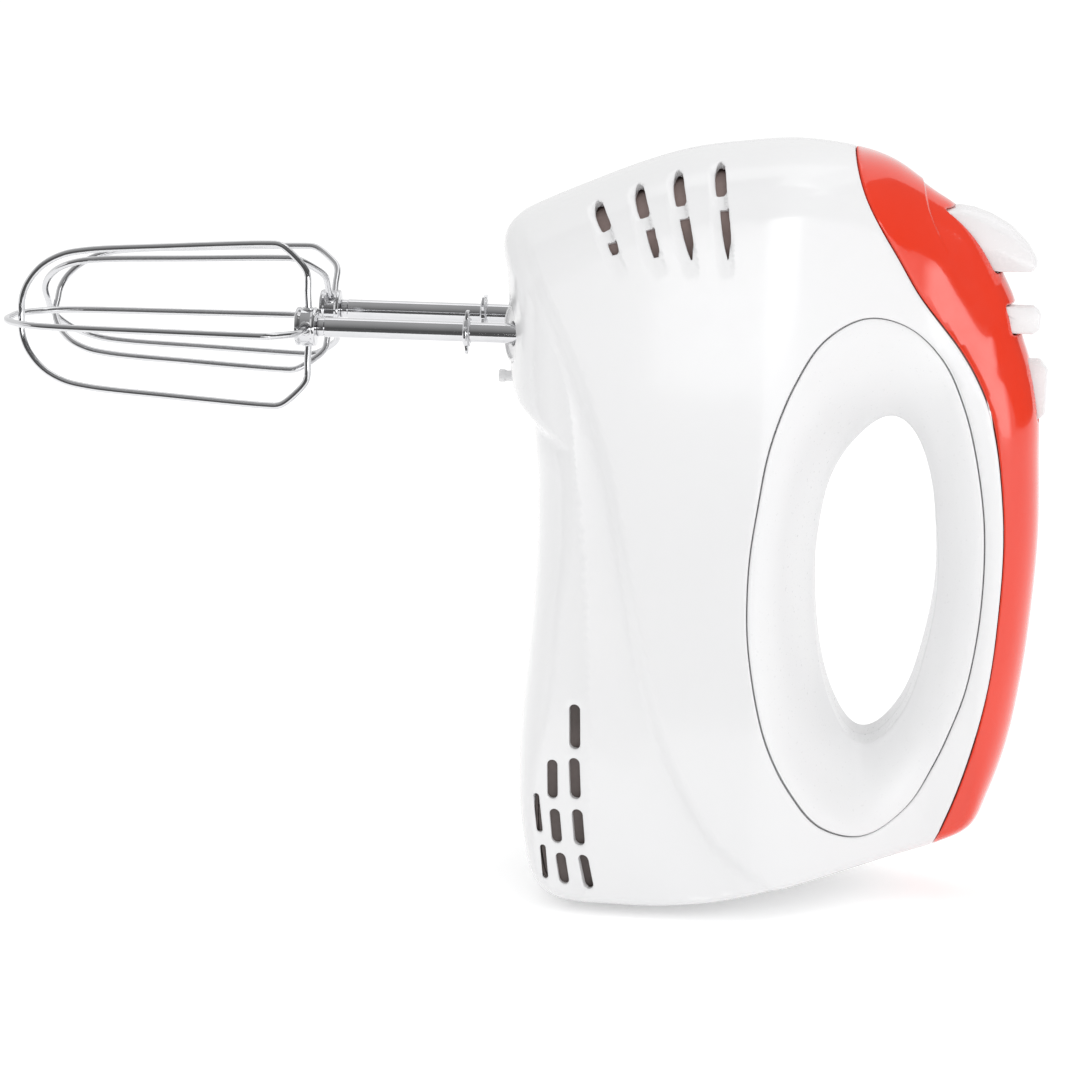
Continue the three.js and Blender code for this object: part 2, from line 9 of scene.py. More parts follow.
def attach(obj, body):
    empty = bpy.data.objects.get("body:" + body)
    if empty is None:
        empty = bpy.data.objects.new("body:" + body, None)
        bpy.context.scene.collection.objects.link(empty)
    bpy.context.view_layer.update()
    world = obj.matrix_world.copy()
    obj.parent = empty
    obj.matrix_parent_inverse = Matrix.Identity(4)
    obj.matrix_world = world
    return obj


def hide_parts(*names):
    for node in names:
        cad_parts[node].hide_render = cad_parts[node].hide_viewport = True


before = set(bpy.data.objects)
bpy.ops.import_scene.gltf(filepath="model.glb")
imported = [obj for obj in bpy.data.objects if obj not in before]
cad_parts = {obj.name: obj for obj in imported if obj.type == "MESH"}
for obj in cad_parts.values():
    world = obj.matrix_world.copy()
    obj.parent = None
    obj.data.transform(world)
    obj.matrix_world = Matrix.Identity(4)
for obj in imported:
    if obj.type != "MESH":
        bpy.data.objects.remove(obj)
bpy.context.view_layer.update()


def linked(name, data):
    """A new object in the scene."""
    obj = bpy.data.objects.new(name, data)
    bpy.context.scene.collection.objects.link(obj)
    return obj


# ---- camera
camera_data = bpy.data.cameras.new("camera")
camera_data.lens = 104.6
camera_data.sensor_width = 36.0
camera_data.clip_end = 60.0
camera = linked("camera", camera_data)
RIGHT = Vector((0.99458, 0.10194, 0.02051)).normalized()
FORWARD = Vector((-0.09575, 0.97474, -0.20176)).normalized()
UP = RIGHT.cross(FORWARD).normalized()
EYE = Vector((0.06744, -1.0, 0.31913))
camera.matrix_world = Matrix((
    (RIGHT.x, UP.x, -FORWARD.x, EYE.x),
    (RIGHT.y, UP.y, -FORWARD.y, EYE.y),
    (RIGHT.z, UP.z, -FORWARD.z, EYE.z),
    (0, 0, 0, 1)))
bpy.context.scene.camera = camera
bpy.context.scene.view_settings.view_transform = "Standard"

# ---- housing shape, in millimetres
# Side outline of the housing: X runs from the beaters to the handle, Z up to the nose vents.
BODY_OUTLINE = [
    (-42.8, 214.6), (-43.4, 209), (-42.2, 205.5), (-42, 201), (-41.3, 196), (-41, 190), (-40.6, 180),
    (-40.2, 172), (-39.8, 167.5), (-38.4, 163), (-33.9, 159.7), (-32.4, 156.6), (-32.4, 153),
    (-32.2, 148), (-31.3, 140), (-30.9, 122), (-31.6, 97), (-33.2, 76), (-34.6, 58), (-34.6, 36),
    (-31.9, 18), (-28, 6.5), (-21, 1), (-5, 0), (12, 0), (30, 2), (46, 5.4), (63, 8.8),
    (84, 13.2), (102.5, 18.8), (113.2, 25), (118, 35.5), (123.2, 52), (127, 75), (129, 97),
    (130, 121), (129, 146), (128, 162), (125, 176), (121.5, 186), (119, 196), (114, 206),
    (108, 216), (100, 225), (89, 233), (79, 239.5), (68, 243), (49, 245), (31, 243.5), (15, 241),
    (-1, 236), (-17, 229.5), (-31.8, 223), (-39.2, 219)]
INSERT_OUTLINE = [
    (72, 192.5), (59.5, 186), (51.5, 173.5), (46.5, 161), (43.5, 150), (41.2, 135), (39.3, 120),
    (38.8, 106), (39.5, 91), (42.8, 71.5), (46.5, 58.5), (53.5, 44), (64.5, 30), (78.5, 25.3),
    (91.5, 33.5), (99.8, 48), (105, 61), (108.5, 72), (111.3, 89), (112.4, 104), (112.4, 119),
    (111.3, 132), (107.6, 151.5), (103.7, 164.3), (97, 178), (85.5, 189)]
HOLE_OUTLINE = [
    (81, 160), (69, 150), (63, 139), (60, 124), (59, 105), (62, 77), (68, 60), (76, 51), (83, 55),
    (90, 65), (95, 82), (98, 101), (98, 114), (95, 139), (91, 151), (86, 158)]
COVER_EDGE = [
    (66.3, 248), (67.3, 241.1), (70.4, 231), (75.1, 221.5), (81.8, 210.4), (88.4, 199.2), (95, 190.6),
    (101.8, 182), (107.1, 173.6), (111.7, 163.6), (114.9, 151), (117.3, 134.5), (118.4, 120),
    (118, 98.6), (116, 74.3), (112, 54.8), (106.9, 37.2), (101.6, 23), (98.5, 14)]
CENTRE_X, CENTRE_Z = 45.0, 120.0
HEAD_WIDTH, HANDLE_WIDTH = 47.5, 19.0
POWER = 2.2                        # how square the rounded edges are
SEAM_HALF_GAP = 0.12               # from each shell to the middle plane
EDGE_GAP = 0.2                     # half the line between neighbouring pieces
SKIN = 2.4                         # wall thickness
CREASE_ONE = [
    (-37, 222), (-35, 219), (-24, 198), (-14, 175), (-4, 144), (5, 100), (16, 58), (31, 29), (49, 14),
    (58, 6)]
CREASE_TWO = [
    (-33, 200), (-23, 181), (-19, 168), (-16, 146), (-12.5, 115), (-11, 90), (-10, 69), (-9, 40), (-9, 5),
    (-9, -3)]
COVER_STEP = [
    (88.5, 232.4), (89.1, 228.6), (90.1, 224.9), (91.7, 220.9), (94.1, 216), (96.7, 211.1), (99.7, 205.9)]
SOCKET_Y, SOCKET_Z, SOCKET_HOLE = 23.0, 183.0, 9.0
CREASE_DEPTH = 1.5                 # how far the first crease draws the side in
FACET = 1.9                        # how far the heel's facet falls away past the second crease
GROOVE_DEPTH = 1.5                 # of the vents on the nose
SOCKET_TILT = 0.05
STEP_DEPTH = 0.75                  # of the red cover


def spline(points, per=24, closed=True):
    """Centripetal Catmull-Rom curve through the points."""
    p = np.array(points, float)
    n = len(p)
    out = []
    for i in range(n if closed else n - 1):
        if closed:
            a, b, c, d = p[(i - 1) % n], p[i], p[(i + 1) % n], p[(i + 2) % n]
        else:
            b, c = p[i], p[i + 1]
            a = p[i - 1] if i else 2 * b - c
            d = p[i + 2] if i + 2 < n else 2 * c - b
        t1 = np.linalg.norm(b - a) ** 0.5
        t2 = t1 + np.linalg.norm(c - b) ** 0.5
        t3 = t2 + np.linalg.norm(d - c) ** 0.5
        t = np.linspace(t1, t2, per, endpoint=False)[:, None]
        a1 = (t1 - t) / t1 * a + t / t1 * b
        a2 = (t2 - t) / (t2 - t1) * b + (t - t1) / (t2 - t1) * c
        a3 = (t3 - t) / (t3 - t2) * c + (t - t2) / (t3 - t2) * d
        b1 = (t2 - t) / t2 * a1 + t / t2 * a2
        b2 = (t3 - t) / (t3 - t1) * a2 + (t - t1) / (t3 - t1) * a3
        out.append((t2 - t) / (t2 - t1) * b1 + (t - t1) / (t2 - t1) * b2)
    out = np.vstack(out)
    return out if closed else np.vstack([out, p[-1]])


def resample(path, step, closed=False):
    p = np.vstack([path, path[:1]]) if closed else np.asarray(path, float)
    run = np.concatenate([[0], np.cumsum(np.linalg.norm(np.diff(p, axis=0), axis=1))])
    n = max(3, int(round(run[-1] / step)))
    t = np.linspace(0, run[-1], n + 1)
    out = np.stack([np.interp(t, run, p[:, k]) for k in range(p.shape[1])], 1)
    return out[:-1] if closed else out


def relax(path, sigma, closed=False):
    """Evens out a curve over a length sigma without shrinking it."""
    step = 0.8
    p = resample(path, step, closed)
    k = np.arange(-int(3 * sigma / step), int(3 * sigma / step) + 1)
    g = np.exp(-0.5 * (k * step / sigma) ** 2)
    g /= g.sum()

    def pass_over(q):
        m = len(k) // 2
        if closed:
            e = np.vstack([q[-m:], q, q[:m]])
        else:
            e = np.vstack([2 * q[0] - q[m:0:-1], q, 2 * q[-1] - q[-2:-m - 2:-1]])
        return np.stack([np.convolve(e[:, i], g, "valid") for i in range(q.shape[1])], 1)

    once = pass_over(p)
    return 2 * once - pass_over(once)


def unit(v):
    return v / np.maximum(np.linalg.norm(v, axis=1), 1e-9)[:, None]


def turns(n):
    return np.linspace(0, 2 * math.pi, n, endpoint=False)


def smooth(t):
    t = np.clip(t, 0, 1)
    return t * t * (3 - 2 * t)


def polar(q):
    """Angle and distance about the housing's centre."""
    u, v = q[:, 0] - CENTRE_X, q[:, 1] - CENTRE_Z
    return np.arctan2(v, u), np.hypot(u, v)


def from_polar(theta, d):
    return np.stack([CENTRE_X + d * np.cos(theta), CENTRE_Z + d * np.sin(theta)], 1)


THETA = np.linspace(-math.pi, math.pi, 1441)[:-1]


def radius_table():
    """The outline's radius at each THETA, evened out a little."""
    angle, r = polar(spline(BODY_OUTLINE, 30))
    order = np.argsort(angle)
    table = np.interp(THETA, angle[order], r[order], period=2 * math.pi)
    half, sigma = 30, 2.5
    g = np.exp(-0.5 * (np.arange(-half, half + 1) / sigma) ** 2)
    return np.convolve(np.concatenate([table[-half:], table, table[:half]]), g / g.sum(), "valid")


RADIUS = radius_table()


def rounding(theta):
    """Share of the radius that rounds over: less along the heel and under the handle."""
    t = (np.degrees(theta) + 180) % 360 - 180
    nose = np.where(t > 0, smooth((t - 118) / 20), 1 - smooth((t + 178) / 20))
    return 0.17 + 0.03 * nose - 0.115 * np.minimum(smooth((t + 146) / 26), smooth((-34 - t) / 22))


def radius_at(theta):
    return np.interp(theta, THETA, RADIUS, period=2 * math.pi)


def half_width(x):
    return HEAD_WIDTH + (HANDLE_WIDTH - HEAD_WIDTH) * smooth((x - 40) / 60)


def reach(theta):
    """How far the unrolled skin runs past the flat side, to the middle plane."""
    r, share = radius_at(theta), rounding(theta)
    return half_width(CENTRE_X + np.cos(theta) * (1 - share) * r) + 0.8 * share * r


def seam_distance(theta):
    """Where the middle plane lies on the unrolled skin."""
    return (1 - rounding(theta)) * radius_at(theta) + reach(theta)


def base(uv):
    """Unrolled skin to the housing's surface, on the side where y is positive."""
    theta, d = polar(uv)
    r, share = radius_at(theta), rounding(theta)
    edge = (1 - share) * r
    phi = np.clip(1 - (d - edge) / reach(theta), 0, 1) * math.pi / 2
    flat = d < edge
    s = np.where(flat, d / r, 1 - share + share * np.cos(phi) ** (2 / POWER))
    t = np.where(flat, 1.0, np.sin(phi) ** (2 / POWER))
    x = CENTRE_X + np.cos(theta) * r * s
    return np.stack([x, t * half_width(x), CENTRE_Z + np.sin(theta) * r * s], 1)


def unroll(xz):
    """Side view position to the unrolled skin."""
    theta, d = polar(np.asarray(xz, float))
    r = radius_at(theta)
    s, share = np.clip(d / r, 0, 1), rounding(theta)
    phi = np.arccos(np.clip((s - 1 + share) / share, 0, 1) ** (POWER / 2))
    d = np.where(s < 1 - share, d, (1 - share) * r + reach(theta) * (1 - phi * 2 / math.pi))
    return from_polar(theta, d)


def locate(y, z, nose):
    """End view position (y, z) to the unrolled skin, on the nose side or the handle side."""
    y, z = np.asarray(y, float), np.asarray(z, float)
    if nose:
        side = np.linspace(math.radians(112), math.radians(250), 400)
    else:
        side = THETA[(THETA > -1.0) & (THETA < 1.35)]
    s = np.ones_like(z)
    for _ in range(12):
        theta = np.empty_like(z)
        for i in range(len(z)):
            zs = CENTRE_Z + np.sin(side) * radius_at(side) * s[i]
            theta[i] = np.interp(-z[i], -zs, side) if nose else np.interp(z[i], zs, side)
        r = radius_at(theta)
        t = np.clip(y / half_width(CENTRE_X + np.cos(theta) * r * s), 0, 1)
        phi = np.arcsin(t ** (POWER / 2))
        share = rounding(theta)
        s = 1 - share + share * np.cos(phi) ** (2 / POWER)
    return from_polar(theta, (1 - share) * r + reach(theta) * (1 - phi * 2 / math.pi))


def beside(uv, path):
    """Signed distance to a path (positive on its left), and how far along it, from 0 to 1."""
    a, b = path[:-1], path[1:]
    ab = b - a
    length = np.linalg.norm(ab, axis=1)
    run = np.concatenate([[0], np.cumsum(length)])
    best = np.full(len(uv), 1e9)
    sign = np.zeros(len(uv))
    where = np.zeros(len(uv))
    for i in range(len(ab)):
        w = uv - a[i]
        t = np.clip((w @ ab[i]) / length[i] ** 2, 0, 1)
        off = w - t[:, None] * ab[i]
        d = np.hypot(off[:, 0], off[:, 1])
        near = d < best
        best = np.where(near, d, best)
        cross = ab[i][0] * w[:, 1] - ab[i][1] * w[:, 0]
        sign = np.where(near, np.sign(cross), sign)
        where = np.where(near, (run[i] + t * length[i]) / run[-1], where)
    return best * sign, where


def unrolled_path(points, step=4.0):
    return resample(unroll(spline(points, 6, False)), step)


CREASE_ONE_PATH = unrolled_path(CREASE_ONE)
CREASE_TWO_PATH = unrolled_path(CREASE_TWO)
step_path = unrolled_path(COVER_STEP, step=2.0)
past_seam = step_path[0] + 6 * (step_path[0] - step_path[1])     # beyond the middle plane
COVER_STEP_PATH = np.vstack([past_seam, step_path])

# Nose vents: tip and end of the upper blade, end and tip of the lower blade, end of the groove.
NOSE_VENTS = [
    [(-12.3, 226.6), (-8.2, 219.6), (-6.3, 215.8), (-5.0, 211.6), (-1.6, 204.0)],
    [(0.3, 232.2), (3.4, 223.9), (5.3, 220.1), (7.6, 211.2), (10.2, 205.0)],
    [(12.3, 236.6), (14.5, 227.8), (15.7, 223.7), (18.4, 210.8), (19.6, 204.6)],
    [(25.3, 239.4), (26.7, 231.1), (27.8, 226.8), (29.5, 211.2), (29.9, 204.6)]]
VENT_HALF = [1.7, 1.72, 1.72, 1.6]
VENT_END = [0.5, 0.45, 0.14, 0.1]  # how blunt the lower blade's tip is
GROOVES = [resample(unroll(np.array([v[0], v[1], v[3], v[4]])), 2.0) for v in NOSE_VENTS]

# Heel vents: middle, half height and half width of each slot, with its lean.
HEEL_VENTS = [
    (-14.1, 62.0, 7.3, 1.75, 0.2), (-13.7, 45.1, 6.7, 1.75, 0.4), (-12.2, 29.2, 5.9, 1.75, 0.6),
    (-9.4, 14.8, 5.5, 1.7, 1.2),
    (-20.8, 44.4, 6.4, 1.65, 0.2), (-19.4, 29.1, 5.6, 1.65, 0.6), (-17.0, 15.2, 5.1, 1.6, 0.9),
    (-25.2, 33.1, 6.4, 0.95, 0.8), (-22.9, 17.1, 5.6, 0.9, 0.6)]


def shell_pull(uv):
    """How far the creases draw the side in towards the middle plane."""
    one, a = beside(uv, CREASE_ONE_PATH)      # positive towards the handle
    pull = CREASE_DEPTH * smooth(-one / 4.5) * (1 - smooth((-one - 4.5) / 24)) * smooth(a / 0.16)
    two, a = beside(uv, CREASE_TWO_PATH)
    past = np.maximum(-two, 0)
    return pull + FACET * (1 - np.exp(-past / 6.0)) * (1 - smooth((past - 20) / 26)) * smooth(a / 0.2)


def shell_height(uv, p):
    """How far the vent grooves and the sockets stand off the white housing."""
    h = np.zeros(len(uv))
    for groove, half in zip(GROOVES, VENT_HALF):
        q, a = beside(uv, groove)
        depth = GROOVE_DEPTH * smooth(a / 0.16) * (1 - smooth((a - 0.62) / 0.38))
        inside = np.where(q > 0, 1 - smooth((q - half * 0.6) / 0.8), 1 - smooth((-q - half * 0.6) / 3.4))
        h = h - depth * inside
    rho = np.hypot(p[:, 1] - SOCKET_Y, p[:, 2] - SOCKET_Z)
    near = np.where(p[:, 0] < 0, 1 - smooth((rho - 9.5) / 12.0), 0)
    return h - SOCKET_TILT * (p[:, 1] - SOCKET_Y) * near


def cover_height(uv, p):
    """Past its step, the red cover lies a little lower."""
    q, a = beside(uv, COVER_STEP_PATH)        # the path runs down, so the handle side is on its left
    fade = 1 - smooth((a - 0.55) / 0.45)
    return -STEP_DEPTH * fade * smooth(q / 1.2) * (1 - smooth((q - 5) / 12))


def drawn_in(uv):
    p = base(uv)
    p[:, 1] *= 1 - shell_pull(uv) / half_width(p[:, 0])
    return p


def surface(uv, height):
    shape = drawn_in if height is shell_height else base
    p = shape(uv)
    push = normals_of(shape, uv) * height(uv, p)[:, None]
    push[:, 1] *= smooth(p[:, 1] / 4)         # nothing may cross the middle plane
    return p + push


def normals_of(shape, uv):
    e = 0.12
    du, dv = np.array([[e, 0.0]]), np.array([[0.0, e]])
    a = shape(uv + du) - shape(uv - du)
    b = shape(uv + dv) - shape(uv - dv)
    return unit(np.cross(b, a))


# ---- materials
def nodes_of(name):
    mat = bpy.data.materials.new(name)
    mat.use_nodes = True
    tree = mat.node_tree
    return mat, tree, tree.nodes["Principled BSDF"]


def put(node, **values):
    """Sets properties and sockets by name, with _ for a space."""
    for key, value in values.items():
        if hasattr(node, key):
            setattr(node, key, value)
        else:
            node.inputs[key.replace("_", " ")].default_value = value
    return node


def add(tree, kind, **values):
    return put(tree.nodes.new(kind), **values)


def coordinates(tree, stretch=(1, 1, 1)):
    place = add(tree, "ShaderNodeTexCoord")
    scale = add(tree, "ShaderNodeMapping", Scale=stretch)
    tree.links.new(place.outputs["Object"], scale.inputs["Vector"])
    return scale.outputs["Vector"]


def spread(tree, source, low, high, start=0.3, end=0.7):
    node = add(tree, "ShaderNodeMapRange", From_Min=start, From_Max=end, To_Min=low, To_Max=high)
    tree.links.new(source, node.inputs["Value"])
    return node.outputs["Result"]


def blend_colour(tree, factor, one, two):
    node = tree.nodes.new("ShaderNodeMix")
    node.data_type = "RGBA"
    tree.links.new(factor, node.inputs["Factor"])
    for socket, value in (("A", one), ("B", two)):
        target = [i for i in node.inputs if i.name == socket and i.type == "RGBA"][0]
        if isinstance(value, tuple):
            target.default_value = (*value, 1)
        else:
            tree.links.new(value, target)
    return [o for o in node.outputs if o.type == "RGBA"][0]


def noise(tree, vector, scale, detail=4.0, rough=0.5):
    node = add(tree, "ShaderNodeTexNoise", Scale=scale, Detail=detail, Roughness=rough)
    tree.links.new(vector, node.inputs["Vector"])
    return node.outputs["Fac"]


def bump(tree, shader, height, strength, distance):
    node = add(tree, "ShaderNodeBump", Strength=strength, Distance=distance)
    tree.links.new(height, node.inputs["Height"])
    tree.links.new(node.outputs["Normal"], shader.inputs["Normal"])


def dress(tree, shader, tone, gloss):
    """Colour and roughness."""
    tree.links.new(tone, shader.inputs["Base Color"])
    tree.links.new(gloss, shader.inputs["Roughness"])


def finish(name, colour, shade, rough, grain, depth, strength, patch,
           metal=0.0, stretch=(1, 1, 1), coat=0.0, coat_rough=0.05, subsurface=0.0):
    """A moulded, turned or cast finish: mottled colour, uneven gloss and fine relief."""
    mat, tree, shader = nodes_of(name + "_look")
    vector = coordinates(tree, stretch)
    large = noise(tree, vector, patch, 3.0)
    fine = noise(tree, vector, grain, 6.0, 0.6)
    tone = blend_colour(tree, spread(tree, large, 0, 1), colour, shade)
    dress(tree, shader, tone, spread(tree, fine, *rough))
    put(shader, Metallic=metal, Coat_Weight=coat, Coat_Roughness=coat_rough,
        Subsurface_Weight=subsurface, Subsurface_Scale=0.002)
    bump(tree, shader, fine, strength, depth)
    return mat


def wound_copper():
    """Enamelled copper turns with a bound look."""
    mat, tree, shader = nodes_of("winding_copper_look")
    vector = coordinates(tree)
    wave = add(tree, "ShaderNodeTexWave", wave_type="BANDS", bands_direction="DIAGONAL",
               Scale=900, Distortion=1.2, Detail=2)
    tree.links.new(vector, wave.inputs["Vector"])
    tone = blend_colour(tree, wave.outputs["Fac"], (0.36, 0.12, 0.04), (0.78, 0.33, 0.14))
    dress(tree, shader, tone, spread(tree, noise(tree, vector, 300), 0.22, 0.42))
    put(shader, Metallic=0.85, Coat_Weight=0.4)
    bump(tree, shader, wave.outputs["Fac"], 0.7, 0.0003)
    return mat


def circuit_green():
    """Solder mask over traces and pads."""
    mat, tree, shader = nodes_of("board_green_look")
    vector = coordinates(tree)
    brick = add(tree, "ShaderNodeTexBrick", Scale=160, Mortar_Size=0.02, Color1=(0.01, 0.11, 0.04, 1),
                Color2=(0.015, 0.15, 0.06, 1), Mortar=(0.05, 0.30, 0.12, 1))
    tree.links.new(vector, brick.inputs["Vector"])
    dots = add(tree, "ShaderNodeTexVoronoi", Scale=330)
    tree.links.new(vector, dots.inputs["Vector"])
    pads = spread(tree, dots.outputs["Distance"], 1, 0, 0.12, 0.2)
    tone = blend_colour(tree, pads, brick.outputs["Color"], (0.62, 0.60, 0.55))
    dress(tree, shader, tone, spread(tree, noise(tree, vector, 200), 0.25, 0.45))
    bump(tree, shader, brick.outputs["Fac"], 0.4, 0.0001)
    return mat


def laminated_steel():
    """Stacked steel sheets seen along their edges."""
    mat, tree, shader = nodes_of("motor_steel_look")
    vector = coordinates(tree)
    wave = add(tree, "ShaderNodeTexWave", wave_type="BANDS", bands_direction="Z", Scale=620, Distortion=0.3)
    tree.links.new(vector, wave.inputs["Vector"])
    tone = blend_colour(tree, wave.outputs["Fac"], (0.20, 0.20, 0.21), (0.46, 0.46, 0.47))
    dress(tree, shader, tone, spread(tree, noise(tree, vector, 250), 0.3, 0.5))
    put(shader, Metallic=0.9)
    bump(tree, shader, wave.outputs["Fac"], 0.5, 0.0002)
    return mat


# Colour, its darker mottle, gloss range, grain, depth and strength of the relief, size of the mottle.
FINISHES = {
    "white_housing": ((0.765, 0.765, 0.77), (0.752, 0.753, 0.76), (0.16, 0.24), 260, 3e-5, 0.06, 14),
    "white_grip": ((0.77, 0.77, 0.775), (0.757, 0.758, 0.765), (0.26, 0.36), 900, 2e-5, 0.10, 18),
    "red_cover": ((0.75, 0.043, 0.016), (0.72, 0.038, 0.014), (0.10, 0.17), 220, 3e-5, 0.05, 20),
    "white_controls": ((0.775, 0.765, 0.77), (0.76, 0.75, 0.755), (0.20, 0.30), 500, 2e-5, 0.08, 60),
    "chrome_wire": ((0.72, 0.72, 0.735), (0.66, 0.665, 0.68), (0.05, 0.12), 700, 1e-5, 0.06, 90),
    "foot_rubber": ((0.10, 0.10, 0.105), (0.07, 0.07, 0.075), (0.6, 0.8), 1500, 6e-5, 0.4, 70),
    "cast_frame": ((0.42, 0.42, 0.43), (0.33, 0.33, 0.34), (0.45, 0.65), 1300, 0.0001, 0.5, 60),
    "turned_steel": ((0.66, 0.66, 0.67), (0.55, 0.55, 0.57), (0.18, 0.34), 500, 3e-5, 0.25, 60),
    "gear_nylon": ((0.80, 0.76, 0.66), (0.74, 0.69, 0.58), (0.38, 0.52), 800, 3e-5, 0.15, 50),
    "bearing_bronze": ((0.60, 0.40, 0.18), (0.48, 0.31, 0.14), (0.3, 0.45), 1200, 5e-5, 0.3, 80),
    "carbon": ((0.035, 0.035, 0.037), (0.02, 0.02, 0.022), (0.45, 0.7), 1600, 6e-5, 0.4, 100),
    "switch_black": ((0.03, 0.03, 0.033), (0.022, 0.022, 0.024), (0.35, 0.5), 700, 4e-5, 0.2, 60),
    # the two vent sheets: dark browns that paint the shade inside the housing, seen through the vents, darker
    # at the heel
    "nose_vent_shade_sheet": ((0.29, 0.215, 0.20), (0.21, 0.155, 0.14), (0.6, 0.8), 900, 5e-5, 0.3, 60),
    "heel_vent_shade_sheet": ((0.12, 0.095, 0.09), (0.08, 0.065, 0.06), (0.5, 0.7), 900, 5e-5, 0.3, 60),
}
EXTRAS = {
    "white_housing": {"coat": 0.3, "coat_rough": 0.06},
    "red_cover": {"coat": 0.6, "coat_rough": 0.04},
    "chrome_wire": {"metal": 1.0},
    "cast_frame": {"metal": 0.9},
    "turned_steel": {"metal": 1.0, "stretch": (1, 1, 8)},
    "gear_nylon": {"subsurface": 0.1},
    "bearing_bronze": {"metal": 1.0},
}
LOOK = {name: finish(name, *row, **EXTRAS.get(name, {})) for name, row in FINISHES.items()}
LOOK.update(motor_steel=laminated_steel(), winding_copper=wound_copper(), board_green=circuit_green())


# ---- mesh helpers
def piece(node, body, slot_name, verts, faces, loop_normals=None, sharp=35, replaced=None):
    """A finished piece, in millimetres, that stands for a CAD node."""
    mesh = bpy.data.meshes.new(node + "_detail")
    metres = [tuple(v) for v in np.asarray(verts, float) * 0.001]
    mesh.from_pydata(metres, [], [tuple(int(i) for i in f) for f in faces])
    mesh.validate(clean_customdata=False)
    mesh.shade_smooth()
    if loop_normals is not None:
        mesh.normals_split_custom_set([tuple(n) for n in loop_normals])
    else:
        mesh.set_sharp_from_angle(angle=math.radians(sharp))
    mesh.materials.append(LOOK[slot_name])
    obj = linked(node + "_detail", mesh)
    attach(obj, body)
    if replaced is None:
        replaced = [node]
    if replaced:
        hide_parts(*replaced)
    return obj


class Parts:
    """Collects vertices and faces of one piece."""

    def __init__(self):
        self.verts, self.faces, self.count = [], [], 0

    def add(self, verts, faces):
        self.verts.append(np.asarray(verts, float))
        self.faces += [tuple(i + self.count for i in f) for f in faces]
        self.count += len(verts)

    def all(self):
        return np.vstack(self.verts), self.faces


def grid_faces(rows, cols, wrap_rows=False, flip=False):
    """Quads between rings of points."""
    faces = []
    for i in range(rows if wrap_rows else rows - 1):
        for j in range(cols):
            a, b = i * cols + j, i * cols + (j + 1) % cols
            c, d = ((i + 1) % rows) * cols + (j + 1) % cols, ((i + 1) % rows) * cols + j
            faces.append((a, d, c, b) if flip else (a, b, c, d))
    return faces


def signed_area(loop):
    return 0.5 * np.sum(loop[:, 0] * np.roll(loop[:, 1], -1) - np.roll(loop[:, 0], -1) * loop[:, 1])


def outward_of(loop):
    """Unit normals of a closed loop, outward when its area is positive."""
    t = unit(np.roll(loop, -1, 0) - np.roll(loop, 1, 0))
    return np.stack([t[:, 1], -t[:, 0]], 1)


def soften(points, radius, steps=5, closed=False):
    """Rounds the corners of a polyline."""
    p = [np.array(q[:2], float) for q in points]
    radii = [q[2] if len(q) > 2 else radius for q in points]
    n = len(p)
    out = []
    for i in range(n):
        if not closed and i in (0, n - 1):
            out.append(p[i])
            continue
        a, b, c = p[i - 1], p[i], p[(i + 1) % n]
        u, v = (a - b) / np.linalg.norm(a - b), (c - b) / np.linalg.norm(c - b)
        half = math.acos(float(np.clip(u @ v, -1, 1))) / 2
        room = 0.48 * min(np.linalg.norm(a - b), np.linalg.norm(c - b))
        cut = min(radii[i] / math.tan(max(half, 0.05)), room)
        if cut < 1e-3 or half > 1.55:
            out.append(b)
            continue
        start, end = b + u * cut, b + v * cut
        for k in range(steps + 1):
            t = k / steps
            out.append((1 - t) ** 2 * start + 2 * t * (1 - t) * b + t * t * end)
    return np.array(out)


def lathe(profile, y, z, segments=72, closed=True):
    """Turns (along, radius) points about an axis along X at (y, z)."""
    p = np.asarray(profile, float)
    a = turns(segments)
    along = np.repeat(p[:, 0], segments)
    r = np.repeat(p[:, 1], segments)
    c, s = np.tile(np.cos(a), len(p)), np.tile(np.sin(a), len(p))
    return np.stack([along, y + r * c, z + r * s], 1), grid_faces(len(p), segments, wrap_rows=closed)


def tube(path, radius, sides):
    """Round bar swept along an open path."""
    p = np.asarray(path, float)
    n = len(p)
    tangent = np.roll(p, -1, 0) - np.roll(p, 1, 0)
    tangent[0], tangent[-1] = p[1] - p[0], p[-1] - p[-2]
    tangent = unit(tangent)
    side = np.cross(tangent[0], (0.3, 0.9, 0.2))
    side /= np.linalg.norm(side)
    a = turns(sides)
    rings = []
    for i in range(n):
        side = side - tangent[i] * (side @ tangent[i])
        side /= np.linalg.norm(side)
        up = np.cross(tangent[i], side)
        rings.append(p[i] + radius * (np.cos(a)[:, None] * side + np.sin(a)[:, None] * up))
    faces = grid_faces(n, sides)
    faces.append(tuple(range(sides))[::-1])
    faces.append(tuple((n - 1) * sides + k for k in range(sides)))
    return np.vstack(rings), faces


